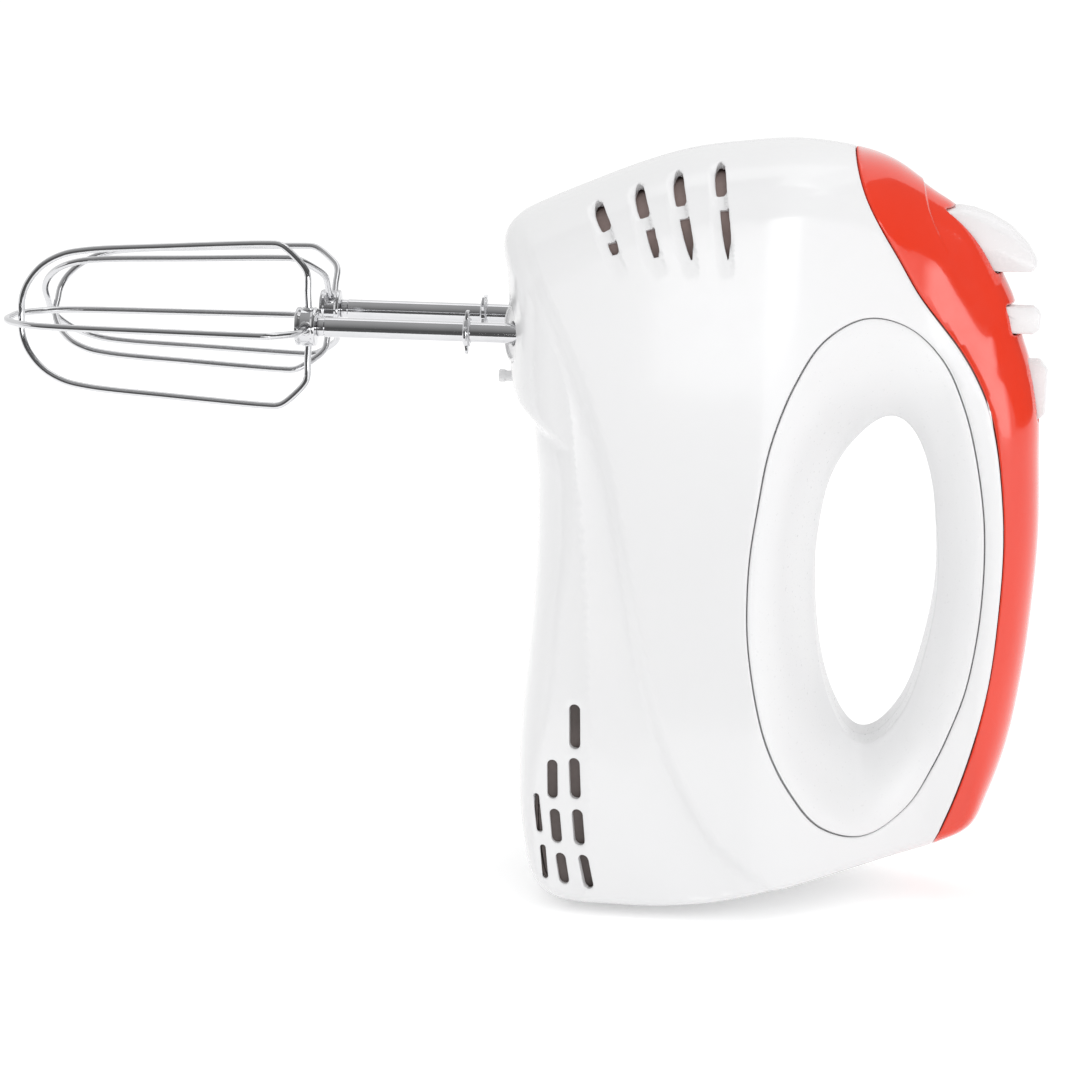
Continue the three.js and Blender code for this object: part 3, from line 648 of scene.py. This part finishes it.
def pillow(profile, half, radius, middle=0.0, steps=6, rigid=None):
    """Extrudes a closed (x, z) outline along y, with rounded shoulders. rigid points keep their place."""
    p = np.asarray(profile, float)
    n = outward_of(p) * (-1 if signed_area(p) < 0 else 1)
    keep = np.ones(len(p)) if rigid is None else np.asarray(rigid, float)
    ys, insets = [], []
    for k in range(steps + 1):
        a = k / steps * math.pi / 2
        ys.append(-half + radius * (1 - math.cos(a)))
        insets.append(radius * (1 - math.sin(a)))
    for k in range(1, 6):
        ys.append(-half + radius + (2 * half - 2 * radius) * k / 6)
        insets.append(0.0)
    ys += [-y for y in ys[:steps + 1]][::-1]
    insets += insets[:steps + 1][::-1]
    rows = []
    for y, inset in zip(ys, insets):
        q = p - n * (inset * keep)[:, None]
        rows.append(np.stack([q[:, 0], np.full(len(q), middle + y), q[:, 1]], 1))
    m = len(p)
    first, last = len(rows) * m, (len(rows) - 1) * m
    faces = grid_faces(len(rows), m)
    for j in range(m):
        faces.append((first, (j + 1) % m, j))
        faces.append((first + 1, last + j, last + (j + 1) % m))
    return np.vstack(rows + [rows[0].mean(0), rows[-1].mean(0)]), faces


# Fillet of every edge: how far in, how deep and the angle of its shading.
FILLET = [(0.0, 0.38, 58.0), (0.22, 0.13, 30.0), (0.55, 0.0, 6.0)]


def at_seam(uv, mirror):
    """Which points lie on the middle plane, for a shell that is mirrored there."""
    theta, d = polar(uv)
    return (d > seam_distance(theta) - 0.02) & mirror


def distances(tree, points):
    return np.array([tree.find((q[0], q[1], 0))[2] for q in points])


def renumber(indices, count):
    """The points that are used, and each point's place among them."""
    used = np.unique(indices)
    remap = np.full(count, -1)
    remap[used] = np.arange(len(used))
    return used, remap


def flipped(faces, loop_normals):
    """The faces turned over and their normals across the middle plane."""
    normals, start = [], 0
    for f in faces:
        normals.append(loop_normals[start:start + len(f)][::-1] * (1, -1, 1))
        start += len(f)
    return [f[::-1] for f in faces], np.vstack(normals)


def skin(loops, height, spacing, fine=(), mirror=False, flip_y=False, thickness=SKIN):
    """Triangulates a region of the unrolled skin into a closed, filleted shell with its loop normals."""
    loops = [l if (signed_area(l) > 0) == (i == 0) else l[::-1] for i, l in enumerate(loops)]
    edges, count = [], 0
    for loop in loops:
        n = len(loop)
        edges += [(count + i, count + (i + 1) % n) for i in range(n)]
        count += n
    boundary = np.vstack(loops)
    tree = kdtree.KDTree(len(boundary))
    for i, q in enumerate(boundary):
        tree.insert((q[0], q[1], 0), i)
    tree.balance()
    outward = np.vstack([outward_of(loop) for loop in loops])
    joined = at_seam(boundary, mirror)
    drop = [np.where(joined, 0.0, FILLET[0][1])]
    tilt = [np.where(joined, 0.0, FILLET[0][2])]
    lean = [outward]
    cloud = [boundary]
    for distance, sink, angle in FILLET[1:]:
        ring = boundary - outward * distance
        ok = (distances(tree, ring) > 0.85 * distance) & ~joined
        cloud.append(ring[ok])
        drop.append(np.full(ok.sum(), sink))
        tilt.append(np.full(ok.sum(), angle))
        lean.append(outward[ok])
    low, high = boundary.min(0), boundary.max(0)
    areas = [(low, high, spacing, 1.0)]
    areas += [(np.array(lo), np.array(hi), step, 0.55 * step + 0.5) for lo, hi, step in fine]
    inner = []
    for k, (lo, hi, step, clear) in enumerate(areas):
        pts = []
        for i, v in enumerate(np.arange(lo[1], hi[1], step * 0.866)):
            u = np.arange(lo[0] + (0.5 * step if i % 2 else 0), hi[0], step)
            pts.append(np.stack([u, np.full(len(u), v)], 1))
        pts = np.vstack(pts)
        if k == 0:
            for a, b, *_ in areas[1:]:
                pts = pts[~((pts > a - step * .4) & (pts < b + step * .4)).all(1)]
        inner.append(pts[distances(tree, pts) > clear])
    inner = np.vstack(inner)
    inner = inner[inside(inner, loops)]
    cloud.append(inner)
    drop.append(np.zeros(len(inner)))
    tilt.append(np.zeros(len(inner)))
    lean.append(np.zeros((len(inner), 2)))
    drop, tilt, lean = np.concatenate(drop), np.concatenate(tilt), np.vstack(lean)
    out = delaunay_2d_cdt([Vector(q) for q in np.vstack(cloud)], edges, [], 0, 1e-5, True)
    where = np.array([(v.x, v.y) for v in out[0]])
    source = np.array([o[0] if o else 0 for o in out[3]])
    drop, tilt, lean = drop[source], tilt[source], lean[source]
    tris = np.array([f for f in out[2] if len(f) == 3])
    tris = tris[inside(where[tris].mean(1), loops)]
    used, remap = renumber(tris, len(where))
    where, drop, tilt, lean, tris = where[used], drop[used], tilt[used], lean[used], remap[tris]
    on_plane = at_seam(where, mirror)
    tris = tris[~on_plane[tris].all(1)]

    def shape(q):
        return surface(q, height)

    p = shape(where)
    n = normals_of(shape, where)
    if mirror:
        n[on_plane, 1] = 0
        n = unit(n)
        p[on_plane, 1] = 0
    out3 = shape(where + lean * 0.05) - shape(where)
    out3 -= n * np.sum(out3 * n, 1)[:, None]
    length = np.linalg.norm(out3, axis=1)[:, None]
    out3 = np.where(length > 1e-9, out3 / np.maximum(length, 1e-9), 0)
    outer = p - n * drop[:, None]
    angle = np.radians(tilt)[:, None]
    shown = unit(n * np.cos(angle) + out3 * np.sin(angle))
    under = p - n * thickness
    if mirror:
        under[on_plane, 1] = 0
    ab = np.vstack([tris[:, [0, 1]], tris[:, [1, 2]], tris[:, [2, 0]]])
    key = np.sort(ab, 1)
    _, index, times = np.unique(key, axis=0, return_inverse=True, return_counts=True)
    rim = ab[times[index.ravel()] == 1]
    if mirror:
        rim = rim[~(on_plane[rim[:, 0]] & on_plane[rim[:, 1]])]
    m = len(outer)
    test = np.cross(outer[tris[:, 1]] - outer[tris[:, 0]], outer[tris[:, 2]] - outer[tris[:, 0]])
    if np.sum(test * n[tris[:, 0]], 1).mean() < 0:
        tris, rim = tris[:, ::-1], rim[:, ::-1]
    verts = np.vstack([outer, under])
    quads = np.stack([rim[:, 1], rim[:, 0], rim[:, 0] + m, rim[:, 1] + m], 1)
    wall = unit(out3[rim].mean(1))
    inner_tris = tris[:, ::-1] + m
    faces = [tuple(t) for t in tris] + [tuple(t) for t in inner_tris] + [tuple(q) for q in quads]
    loop_normals = np.vstack([shown[tris.ravel()], -n[(inner_tris - m).ravel()], np.repeat(wall, 4, axis=0)])
    if mirror:
        own = np.arange(2 * m)
        twin = np.where(np.concatenate([on_plane, on_plane]), own, own + 2 * m)
        other_faces, other_normals = flipped(faces, loop_normals)
        verts = np.vstack([verts, verts * (1, -1, 1)])
        faces = faces + [tuple(int(twin[i]) for i in f) for f in other_faces]
        loop_normals = np.vstack([loop_normals, other_normals])
        used, remap = renumber(np.concatenate([np.array(f) for f in faces]), len(verts))
        verts = verts[used]
        faces = [tuple(int(remap[i]) for i in f) for f in faces]
    elif flip_y:
        verts = verts * (1, -1, 1)
        faces, loop_normals = flipped(faces, loop_normals)
    return verts, faces, loop_normals


def inside(points, loops):
    """Even-odd test of points against closed loops."""
    result = np.zeros(len(points), bool)
    for loop in loops:
        near = np.where(((points >= loop.min(0)) & (points <= loop.max(0))).all(1))[0]
        if not len(near):
            continue
        q = points[near]
        odd = np.zeros(len(q), bool)
        for a, b in zip(loop, np.roll(loop, -1, 0)):
            crosses = (a[1] > q[:, 1]) != (b[1] > q[:, 1])
            if crosses.any():
                x = a[0] + (q[:, 1] - a[1]) * (b[0] - a[0]) / (b[1] - a[1] if b[1] != a[1] else 1e-9)
                odd ^= crosses & (q[:, 0] < x)
        result[near] ^= odd
    return result


# ---- regions of the skin
def offset_loop(loop, distance):
    """Moves a closed loop outwards."""
    return loop + outward_of(loop) * (1 if signed_area(loop) > 0 else -1) * distance


def cover_path(shift):
    """The edge between the red cover and the white housing, from the top seam to the bottom seam."""
    xz = relax(spline(COVER_EDGE, 30, False), 4.0)
    theta, d = polar(xz)
    s = d / radius_at(theta)
    keep = np.where(s < 1)[0]
    a, b = keep[0], keep[-1]
    top = xz[a - 1] + (xz[a] - xz[a - 1]) * (s[a - 1] - 1) / (s[a - 1] - s[a])
    bottom = xz[b] + (xz[b + 1] - xz[b]) * (1 - s[b]) / (s[b + 1] - s[b])
    path = np.vstack([top, xz[a:b + 1], bottom])
    dense = []
    for p, q in zip(path[:-1], path[1:]):
        dense.append(p + (q - p) * np.linspace(0, 1, 12, endpoint=False)[:, None])
    uv = resample(unroll(np.vstack(dense + [path[-1:]])), 1.1)
    t = unit(np.gradient(uv, axis=0))
    n = np.stack([-t[:, 1], t[:, 0]], 1)      # left of a path that runs down: the handle side
    return uv + n * shift


def seam_points(start, end, gap):
    """Points along the middle plane from one angle to another, a gap short of it."""
    per_radian = 190 / 1.4
    theta = np.linspace(start, end, max(8, int(abs(end - start) * per_radian)))
    width = half_width(CENTRE_X + np.cos(theta) * radius_at(theta))
    short = reach(theta) * np.arcsin((gap / width) ** (POWER / 2)) * 2 / math.pi
    return from_polar(theta, seam_distance(theta) - short)


def angle_of(q):
    return math.atan2(q[1] - CENTRE_Z, q[0] - CENTRE_X)


def leaf(tip, cut, half, end=None):
    """One blade of a nose vent: pointed at one end and cut square with rounded corners at the other."""
    tip, cut = np.array(tip, float), np.array(cut, float)
    axis = cut - tip
    length = np.linalg.norm(axis)
    axis /= length
    side = np.array([-axis[1], axis[0]])
    t = np.linspace(0, 1, 15)
    if end is None:
        w = half * np.interp(t, [0, 0.08, 0.2, 0.4, 0.7, 1], [0.25, 0.6, 0.84, 0.98, 1, 0.9])
    else:
        widths = [end, 0.42 + 0.45 * end, 0.72 + 0.12 * end, 0.85, 0.88]
        w = half * np.interp(t, [0, 0.2, 0.5, 0.8, 1], widths)
    corner = 0.22
    body = list(zip(t * length, w))
    body[-1] = (length - corner, w[-1])
    body.append((length - corner * 0.3, w[-1] - corner * 0.3))
    body.append((length, w[-1] - corner))
    left = [tip + axis * a + side * b for a, b in body]
    right = [tip + axis * a - side * b for a, b in body][::-1]
    return resample(np.array(left + right), 0.5, True)


def slot_loop(x, z, half_height, half, lean):
    """A slot with round ends, leaning a little along the housing's edge."""
    h = half_height - half
    points = []
    for sign, start in ((1, 0), (-1, math.pi)):
        for a in np.linspace(start, start + math.pi, 10):
            points.append((half * math.cos(a), sign * h + half * math.sin(a)))
    p = np.array(points)
    p[:, 0] += -lean * p[:, 1] / half_height
    return resample(p + (x, z), 0.6, True)


def circle(x, z, r):
    a = turns(40)
    return np.stack([x + r * np.cos(a), z + r * np.sin(a)], 1)


edge_left = cover_path(-EDGE_GAP)
edge_right = cover_path(EDGE_GAP)
top_angle, bottom_angle = angle_of(edge_left[0]), angle_of(edge_left[-1])
seam_left = seam_points(top_angle, bottom_angle + 2 * math.pi, SEAM_HALF_GAP)
shell_outer = np.vstack([seam_left, edge_left[1:-1][::-1]])
OVAL = relax(spline(INSERT_OUTLINE, 16), 3.0, True)
oval = resample(unroll(OVAL), 1.2, True)
oval_hole = offset_loop(oval, EDGE_GAP)
vents = []
for v, half, end in zip(NOSE_VENTS, VENT_HALF, VENT_END):
    vents += [unroll(leaf(v[0], v[1], half)), unroll(leaf(v[3], v[2], half, end))]
vents += [unroll(slot_loop(*v)) for v in HEEL_VENTS]
ring = turns(56)
socket = locate(SOCKET_Y + SOCKET_HOLE * np.cos(ring), SOCKET_Z + SOCKET_HOLE * np.sin(ring), True)
WELLS, WELL_RADIUS, WELL_GAP = [(-22, 214), (55, 229), (-21, 24), (50, 19)], 3.4, 1.6


def apart(loop, others):
    return all(np.linalg.norm(loop[:, None] - o[None], axis=2).min() > WELL_GAP for o in others)


def box(loops, margin, spacing):
    """A region of closer points: its corners and their spacing."""
    every = np.vstack(loops)
    return tuple(every.min(0) - margin), tuple(every.max(0) + margin), spacing


wells = [unroll(circle(x, z, WELL_RADIUS)) for x, z in WELLS]
wells = [w for w in wells if apart(w, vents)]
fine = [box(vents[:8], 6, 0.9), ((-88, 138), (-14, 192), 1.1)]     # nose vents, socket
for side, screws in (("left", []), ("right", wells)):
    loops = [shell_outer, oval_hole, socket] + vents + screws
    piece(side + "_shell", "housing", "white_housing",
          *skin(loops, shell_height, 2.0, fine, flip_y=side == "left"))

# thin dark sheets close behind the vents: painted shade for the dark inside seen through them
NOSE_SHADE_SHEET = [
    (-18.5, 214), (-15, 227.5), (-2.5, 233.8), (10, 238.3), (30, 241), (35.5, 239), (35, 200), (-8, 200),
    (-14, 206)]
HEEL_SHADE_SHEET = [(-27.5, 26), (-28.5, 40), (-24, 54), (-18, 72), (-8, 72), (-5, 45), (-3, 8), (-24, 8)]
SHADE_SHEET_DEPTH, SHADE_SHEET_THICKNESS = 3.4, 0.8


def behind(uv, p):
    return np.full(len(uv), -SHADE_SHEET_DEPTH)


for name, outline in (("nose_vent_shade_sheet", NOSE_SHADE_SHEET), ("heel_vent_shade_sheet", HEEL_SHADE_SHEET)):
    loop = resample(unroll(outline), 2.0, True)
    for side in ("left", "right"):
        shell = skin([loop], behind, 3.0, flip_y=side == "left", thickness=SHADE_SHEET_THICKNESS)
        shade_sheet = piece(side + "_" + name, "housing", "switch_black", *shell, replaced=[])
        shade_sheet.data.materials[0] = LOOK[name]

# the red cover, with the openings for the three controls: bottom, top and half width
CONTROL_OPENINGS = [(158.2, 177.8, 6.9), (186.2, 195.8, 12.5), (205.3, 225.9, 9.95)]


def opening_path(z0, z1, half):
    p = resample(soften([(0, z0), (half, z0), (half, z1), (0, z1)], 1.6, 4), 0.9)
    return locate(p[:, 0], p[:, 1], False)


outer = []
at, end = angle_of(edge_right[-1]), angle_of(edge_right[0])
for z0, z1, half in CONTROL_OPENINGS:
    notch = opening_path(z0, z1, half)
    outer += [seam_points(at, angle_of(notch[0]), 0.0)[:-1], notch]
    at = angle_of(notch[-1])
outer.append(seam_points(at, end, 0.0)[1:])
outer[0] = outer[0][1:]
cover_outer = np.vstack(outer + [edge_right[:-1]])
COVER_THICKNESS = 1.6
piece("top_cover", "housing", "red_cover",
      *skin([cover_outer], cover_height, 1.6, [box([COVER_STEP_PATH], 2.5, 0.55)], mirror=True,
            thickness=COVER_THICKNESS))

# ---- grip inserts
# share of the way from rim to hole, and how far down the dish has come
DISH = [
    (0, 0), (0.15, 0.015), (0.32, 0.09), (0.5, 0.235), (0.66, 0.44), (0.8, 0.67), (0.91, 0.88), (0.97, 0.985),
    (1, 1.06)]
DISH_Y, INSERT_THICKNESS = 13, 2.6


def polar_curve(p, cx, cz, sx, sz, n):
    """n points of a closed curve at even angles about a centre, on stretched axes."""
    a = np.arctan2((p[:, 1] - cz) / sz, (p[:, 0] - cx) / sx)
    order = np.argsort(a)
    want = np.linspace(-math.pi, math.pi, n, endpoint=False)
    return np.stack([np.interp(want, a[order], p[order, k], period=2 * math.pi) for k in (0, 1)], 1)


def insert(side, name):
    n = 288
    rim = offset_loop(polar_curve(OVAL, 78, 106, 37, 84, n), -EDGE_GAP)
    hole = polar_curve(relax(spline(HOLE_OUTLINE, 16), 5.0, True), 78, 106, 20, 54, n)
    run = np.linalg.norm(hole - rim, axis=1)
    dish = spline(DISH, 6, False)
    rows = []

    def row(q, y):
        rows.append(np.stack([q[:, 0], np.broadcast_to(y, n), q[:, 1]], 1))

    def dished(s, drop):
        q = rim + (hole - rim) * s
        return q, base(unroll(q))[:, 1] * (1 - drop) + DISH_Y * drop

    for mm, sink, _ in FILLET:
        q = rim + (hole - rim) * (mm / run)[:, None]
        row(q, base(unroll(q))[:, 1] - sink)
    for s, drop in dish[dish[:, 0] >= 0.03]:
        row(*dished(s, drop))
    for y in (11.0, 9.0, 6.5, 4.0, 2.0, 0.6, 0.15):
        row(hole, y)
    for y in (0.15, 4.0, 8.0):
        row(hole + (rim - hole) * (INSERT_THICKNESS / run)[:, None], y)
    for s in (0.9, 0.7, 0.5, 0.3, 0.12, 0.0):
        q, y = dished(s, np.interp(s, dish[:, 0], dish[:, 1]))
        row(q, np.maximum(y - INSERT_THICKNESS, 8.0))
    edge_y = base(unroll(rim))[:, 1]
    lip = offset_loop(rim, 1.7)
    row(lip, edge_y - 3.7)
    row(lip, edge_y - 2.75)
    row(rim, edge_y - 2.75)
    verts = np.vstack(rows) * (1, side, 1)
    piece(name, "housing", "white_grip", verts, grid_faces(len(rows), n, True, side > 0), sharp=50)


insert(-1, "left_grip_insert")
insert(1, "right_grip_insert")

# ---- socket collars and the catch under the nose
FACE_X = -39.3
# profiles turned about an axis along X: along, radius, corner
COLLAR = [
    (FACE_X, 7.8, 0.2), (FACE_X, 8.6, 0.3), (FACE_X + 0.5, 8.9, 0.3), (-32, 8.95, 0.3), (-32, 3.9, 0.2),
    (FACE_X + 0.8, 3.9, 0.4), (FACE_X + 0.8, 7.9, 0.6)]
LUG = [
    (-37.2, 0.01, 0), (-37.2, 2.0, 0.2), (-40.2, 1.75, 0.4), (-42.6, 1.7, 0.5), (-43.4, 2.05, 0.3),
    (-45.2, 2.1, 0.5), (-45.2, 1.1, 0.3), (-44.2, 0.9, 0.2), (-44.2, 0.01, 0)]
# turned bar with a chamfered end, a locating groove and a shoulder at the hub
SHAFT = [
    (-3, 0.01, 0), (-3, 2.1, 0.5), (-4.6, 3.15, 0.4), (-9, 3.15, 0.2), (-9.3, 2.6, 0.2), (-11.2, 2.6, 0.2),
    (-11.5, 3.15, 0.2), (-60, 3.15, 0), (-98.2, 3.15, 0.2), (-98.6, 3.0, 0.2), (-100.6, 3.0, 0.1),
    (-100.6, 0.01, 0)]
# rolled drum with turned-out rims
DRUM = [
    (-107.3, 0.01, 0), (-107.3, 3.4, 0.3), (-107.6, 4.6, 0.4), (-107.5, 6.0, 0.5), (-106.6, 6.25, 0.4),
    (-105.8, 5.75, 0.5), (-102.6, 5.75, 0.5), (-101.8, 6.25, 0.4), (-101.0, 6.0, 0.5), (-100.9, 4.4, 0.5),
    (-100.7, 3.6, 0.3), (-100.65, 0.01, 0)]
EYELET = [(-0.9, 1.16), (0.55, 1.16), (0.8, 1.4), (0.65, 1.85), (0.1, 2.35), (-0.9, 2.5)]
SLEEVE = [(-54.1, 3.2), (-54.1, 4.3), (-53.6, 4.85), (-52.4, 4.85), (-51.9, 4.3), (-51.9, 3.2)]
FIN_X = -53
FIN = [(-2.6, 3.9), (-2.1, 6.1), (-1.3, 6.85), (1.3, 6.85), (2.1, 6.1), (2.6, 3.9)]


def collar(side, node):
    """A short socket rim whose face follows the nose."""
    profile = soften(COLLAR, 0.3, 4, True)
    verts, faces = lathe(profile, side * SOCKET_Y, SOCKET_Z, 96)
    lean = np.clip((-33 - verts[:, 0]) / 4, 0, 1)
    verts[:, 0] += 0.35 * side * (verts[:, 1] - side * SOCKET_Y) * lean
    piece(node, "housing", "white_housing", verts, faces, sharp=40)


collar(-1, "left_socket_collar")
collar(1, "right_socket_collar")

# the catch under the nose: a stub with a flared, hollow end
LUG_Z = 166
piece("underside_lug", "housing", "white_housing",
      *lathe(soften(LUG, 0.3, 4), 0, LUG_Z, 48, closed=False), sharp=50)

# ---- beaters
AXIS_Y, AXIS_Z, HUB = 23.0, 183.0, -104.0
WIRE_RADIUS, WIRE_TIPS = 1.1, (-197.6, -201.0)       # one loop passes inside the other


def whisk_wire(node, body, y, turn, tip):
    half = [(HUB + .4, 3.6), (HUB, 10), (HUB - .2, 16.6), (HUB - 1.4, 19), (HUB - 7.4, 24.8),
            (HUB - 9.6, 25.8), (HUB - 12.8, 25.9), (HUB - 45, 24), (tip + 21.5, 21.9), (tip + 14, 20.2),
            (tip + 7.5, 16.5), (tip + 2.8, 10.8), (tip + .9, 5.4), (tip + .8, 0)]
    full = half + [(x, -r) for x, r in half[:-1]][::-1]
    path = resample(spline(full, 12, False), 1.1)
    c, s = math.cos(turn), math.sin(turn)
    world = np.stack([path[:, 0], y + path[:, 1] * s, AXIS_Z + path[:, 1] * c], 1)
    piece(node, body, "chrome_wire", *tube(world, WIRE_RADIUS, 20), sharp=60)


def beater(side, name):
    body = name + "_beater"
    y = side * AXIS_Y
    turn = 0.0 if side < 0 else math.pi / 4
    quarters = [turn + k * math.pi / 2 for k in range(4)]
    whisk_wire(name + "_wire_1", body, y, turn, WIRE_TIPS[0])
    whisk_wire(name + "_wire_2", body, y, turn + math.pi / 2, WIRE_TIPS[1])
    shaft = lathe(soften(SHAFT, 0.2, 3), y, AXIS_Z, closed=False)
    piece(body + "_shaft", body, "chrome_wire", *shaft, sharp=40)
    # hub: the drum and a raised eyelet round each wire
    hub = Parts()
    hub.add(*lathe(soften(DRUM, 0.4, 5), y, AXIS_Z, closed=False))
    along = np.array([1.0, 0, 0])
    b = turns(32)
    for a in quarters:
        out = np.array([0, math.sin(a), math.cos(a)])
        centre = np.array([HUB, y, AXIS_Z]) + out * 5.4
        ways = np.cos(b)[:, None] * along + np.sin(b)[:, None] * np.cross(out, along)
        rows = [centre + out * h + r * ways for h, r in soften(EYELET, 0.2, 3, True)]
        hub.add(np.vstack(rows), grid_faces(len(rows), len(b), True, True))
    piece(body + "_hub", body, "chrome_wire", *hub.all(), sharp=40)
    # fins: a pressed sleeve with four thin wings that key into the socket
    fins = Parts()
    fins.add(*lathe(soften(SLEEVE, 0.25, 4, True), y, AXIS_Z, 64))
    v, f = pillow(soften(FIN, 0.8, 5, True), 0.5, 0.25, steps=3)
    for a in quarters:
        out = np.array([0, math.sin(a), math.cos(a)])
        ways = np.array([np.cross(out, along), along, out])
        fins.add(v @ ways + np.array([FIN_X, y, AXIS_Z]), f)
    piece(body + "_fins", body, "chrome_wire", *fins.all(), sharp=40)


beater(-1, "left")
beater(1, "right")

# ---- controls
# side profiles: x, z and corner
LEVER = [
    (99.5, 210.5, 1), (104.5, 206.3, 1), (114, 205.6, 2), (123.6, 205.9, 1.2), (125, 207.4, 1.0),
    (125, 209.8, 2), (122.2, 214.2, 3), (117, 219.2, 4), (110.6, 222.8, 5), (105.2, 224.7, 3),
    (100.5, 225.4, 2), (95, 224.4, 1), (94, 220, 1)]
KNOB = [
    (112.4, 187.4, 0.2), (116, 186.8, 0.4), (124.5, 186.7, 1.6), (126.6, 188.4, 1.6), (126.6, 193.6, 1.6),
    (124.5, 195.3, 1.6), (116, 195.2, 0.3), (112.4, 194.6, 0.2)]
PLATE = [
    (122.5, 159, 0.2), (128.2, 159, 0.8), (130, 161, 0.9), (130, 175, 0.9), (128, 177, 0.8),
    (122.5, 177, 0.2)]
lever = resample(soften(LEVER, 1.0, 6, True), 0.9, True)
rigid = np.interp(lever[:, 0], [94, 100, 112, 125], [0.15, 0.6, 1.0, 0.4])
rigid = np.where(lever[:, 1] < 207.2, 0.12, rigid)
for _ in range(6):
    rigid = (np.roll(rigid, 1) + 2 * rigid + np.roll(rigid, -1)) / 4
knob = resample(soften(KNOB, 0.4, 5, True), 0.5, True)
plate = resample(soften(PLATE, 0.5, 5, True), 0.8, True)
piece("eject_button", "eject", "white_controls", *pillow(lever, 9.4, 3.6, steps=9, rigid=rigid), sharp=50)
piece("speed_knob", "speed", "white_controls", *pillow(knob, 3.9, 0.9, middle=-8.0, steps=5), sharp=45)
piece("turbo_button", "turbo", "white_controls", *pillow(plate, 5.95, 0.9, steps=5), sharp=45)

# ---- carried-over CAD nodes
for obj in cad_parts.values():
    for i, mat in enumerate(obj.data.materials):
        key = mat.name.split(".")[0]
        if key in LOOK:
            obj.data.materials[i] = LOOK[key]

# ---- stage and light
floor_mesh = bpy.data.meshes.new("floor")
FLOOR_RADIUS, FLOOR_SIDES = 16, 96
angles = turns(FLOOR_SIDES)
rim = [(0.03 + FLOOR_RADIUS * math.cos(a), FLOOR_RADIUS * math.sin(a), 0.0) for a in angles]
floor_mesh.from_pydata(rim, [], [tuple(range(FLOOR_SIDES))])
floor = linked("floor", floor_mesh)
mat, tree, shader = nodes_of("floor_paper")
tone = blend_colour(tree, noise(tree, coordinates(tree), 3.0), (0.93, 0.93, 0.93), (0.92, 0.92, 0.92))
tree.links.new(tone, shader.inputs["Base Color"])
put(shader, Roughness=0.7, Specular_IOR_Level=0.0, Emission_Color=(1, 1, 1, 1), Emission_Strength=0.22)
floor_mesh.materials.append(mat)

world = bpy.data.worlds.new("studio")
bpy.context.scene.world = world
world.use_nodes = True
put(world.node_tree.nodes["Background"], Color=(1.0, 1.0, 1.0, 1), Strength=0.9)


LIT_POINT = Vector((0.03, 0.0, 0.13))


def soft_light(name, azimuth, elevation, distance, width, radiance):
    """A square softbox, by its azimuth from straight ahead towards the handle, and its elevation."""
    az, el = math.radians(azimuth), math.radians(elevation)
    way = Vector((math.sin(az) * math.cos(el), -math.cos(az) * math.cos(el), math.sin(el)))
    data = bpy.data.lights.new(name, "AREA")
    data.shape = "RECTANGLE"
    data.size = data.size_y = width
    data.energy = radiance * math.pi * width * width
    obj = linked(name, data)
    obj.location = LIT_POINT + way * distance
    obj.rotation_euler = (-way).to_track_quat("-Z", "Y").to_euler()
    return obj


soft_light("key", 62, 58, 1.7, 0.8, 1.35)
soft_light("top", 180, 78, 1.9, 1.6, 0.45)
soft_light("fill", 34, 25, 1.6, 1.2, 0.85).visible_glossy = False


def flag(name, rows, low, high, start, end, axis="Z"):
    """A card that only shows in reflections, shaded from low to high along an axis. rows: pairs of points."""
    mesh = bpy.data.meshes.new(name)
    quads = [(2 * i, 2 * i + 1, 2 * i + 3, 2 * i + 2) for i in range(len(rows) - 1)]
    mesh.from_pydata([p for row in rows for p in row], [], quads)
    obj = linked(name, mesh)
    mat = bpy.data.materials.new(name)
    mat.use_nodes = True
    tree = mat.node_tree
    tree.nodes.clear()
    place = add(tree, "ShaderNodeTexCoord")
    split = add(tree, "ShaderNodeSeparateXYZ")
    tree.links.new(place.outputs["Object"], split.inputs["Vector"])
    level = spread(tree, split.outputs[axis], low, high, start, end)
    glow = add(tree, "ShaderNodeEmission")
    tree.links.new(level, glow.inputs["Strength"])
    out = add(tree, "ShaderNodeOutputMaterial")
    tree.links.new(glow.outputs["Emission"], out.inputs["Surface"])
    mesh.materials.append(mat)
    obj.visible_camera = obj.visible_diffuse = obj.visible_shadow = obj.visible_transmission = False


def arch(x0, x1, last):
    """Rows of a curved card in front, from below the floor up and over to the last angle."""
    first, radius, height, steps = -8, 1.3, 0.19, 24
    rows = []
    for i in range(steps + 1):
        a = math.radians(first + (last - first) * i / steps)
        rows.append([(x, -radius * math.cos(a), height + radius * math.sin(a)) for x in (x0, x1)])
    return rows


flag("front_arch", arch(-2.4, 0.15, 104), 0.10, 0.44, 0.19, 1.49)
flag("side_arch", arch(0.15, 7.0, 84), 0.05, 0.22, 0.19, 1.49)
flag("lit_table", [((x, -1.1, 0.004), (x, -1.1, top)) for x, top in ((-0.06, 0.1), (1.1, 0.27), (1.9, 0.15))],
     3.6, 0.9, 0.9, 1.3, "X")
flag("side_wall", [((2.0, -1.3, z), (2.0, 1.6, z)) for z in (0.05, 2.4)], 0.06, 0.2, 0.05, 2.4)
flag("front_carpet", [((-2.4, y, 0.003), (0.15, y, 0.003)) for y in (-1.34, -0.27)], 0.11, 0.11, 0.0, 1.0)
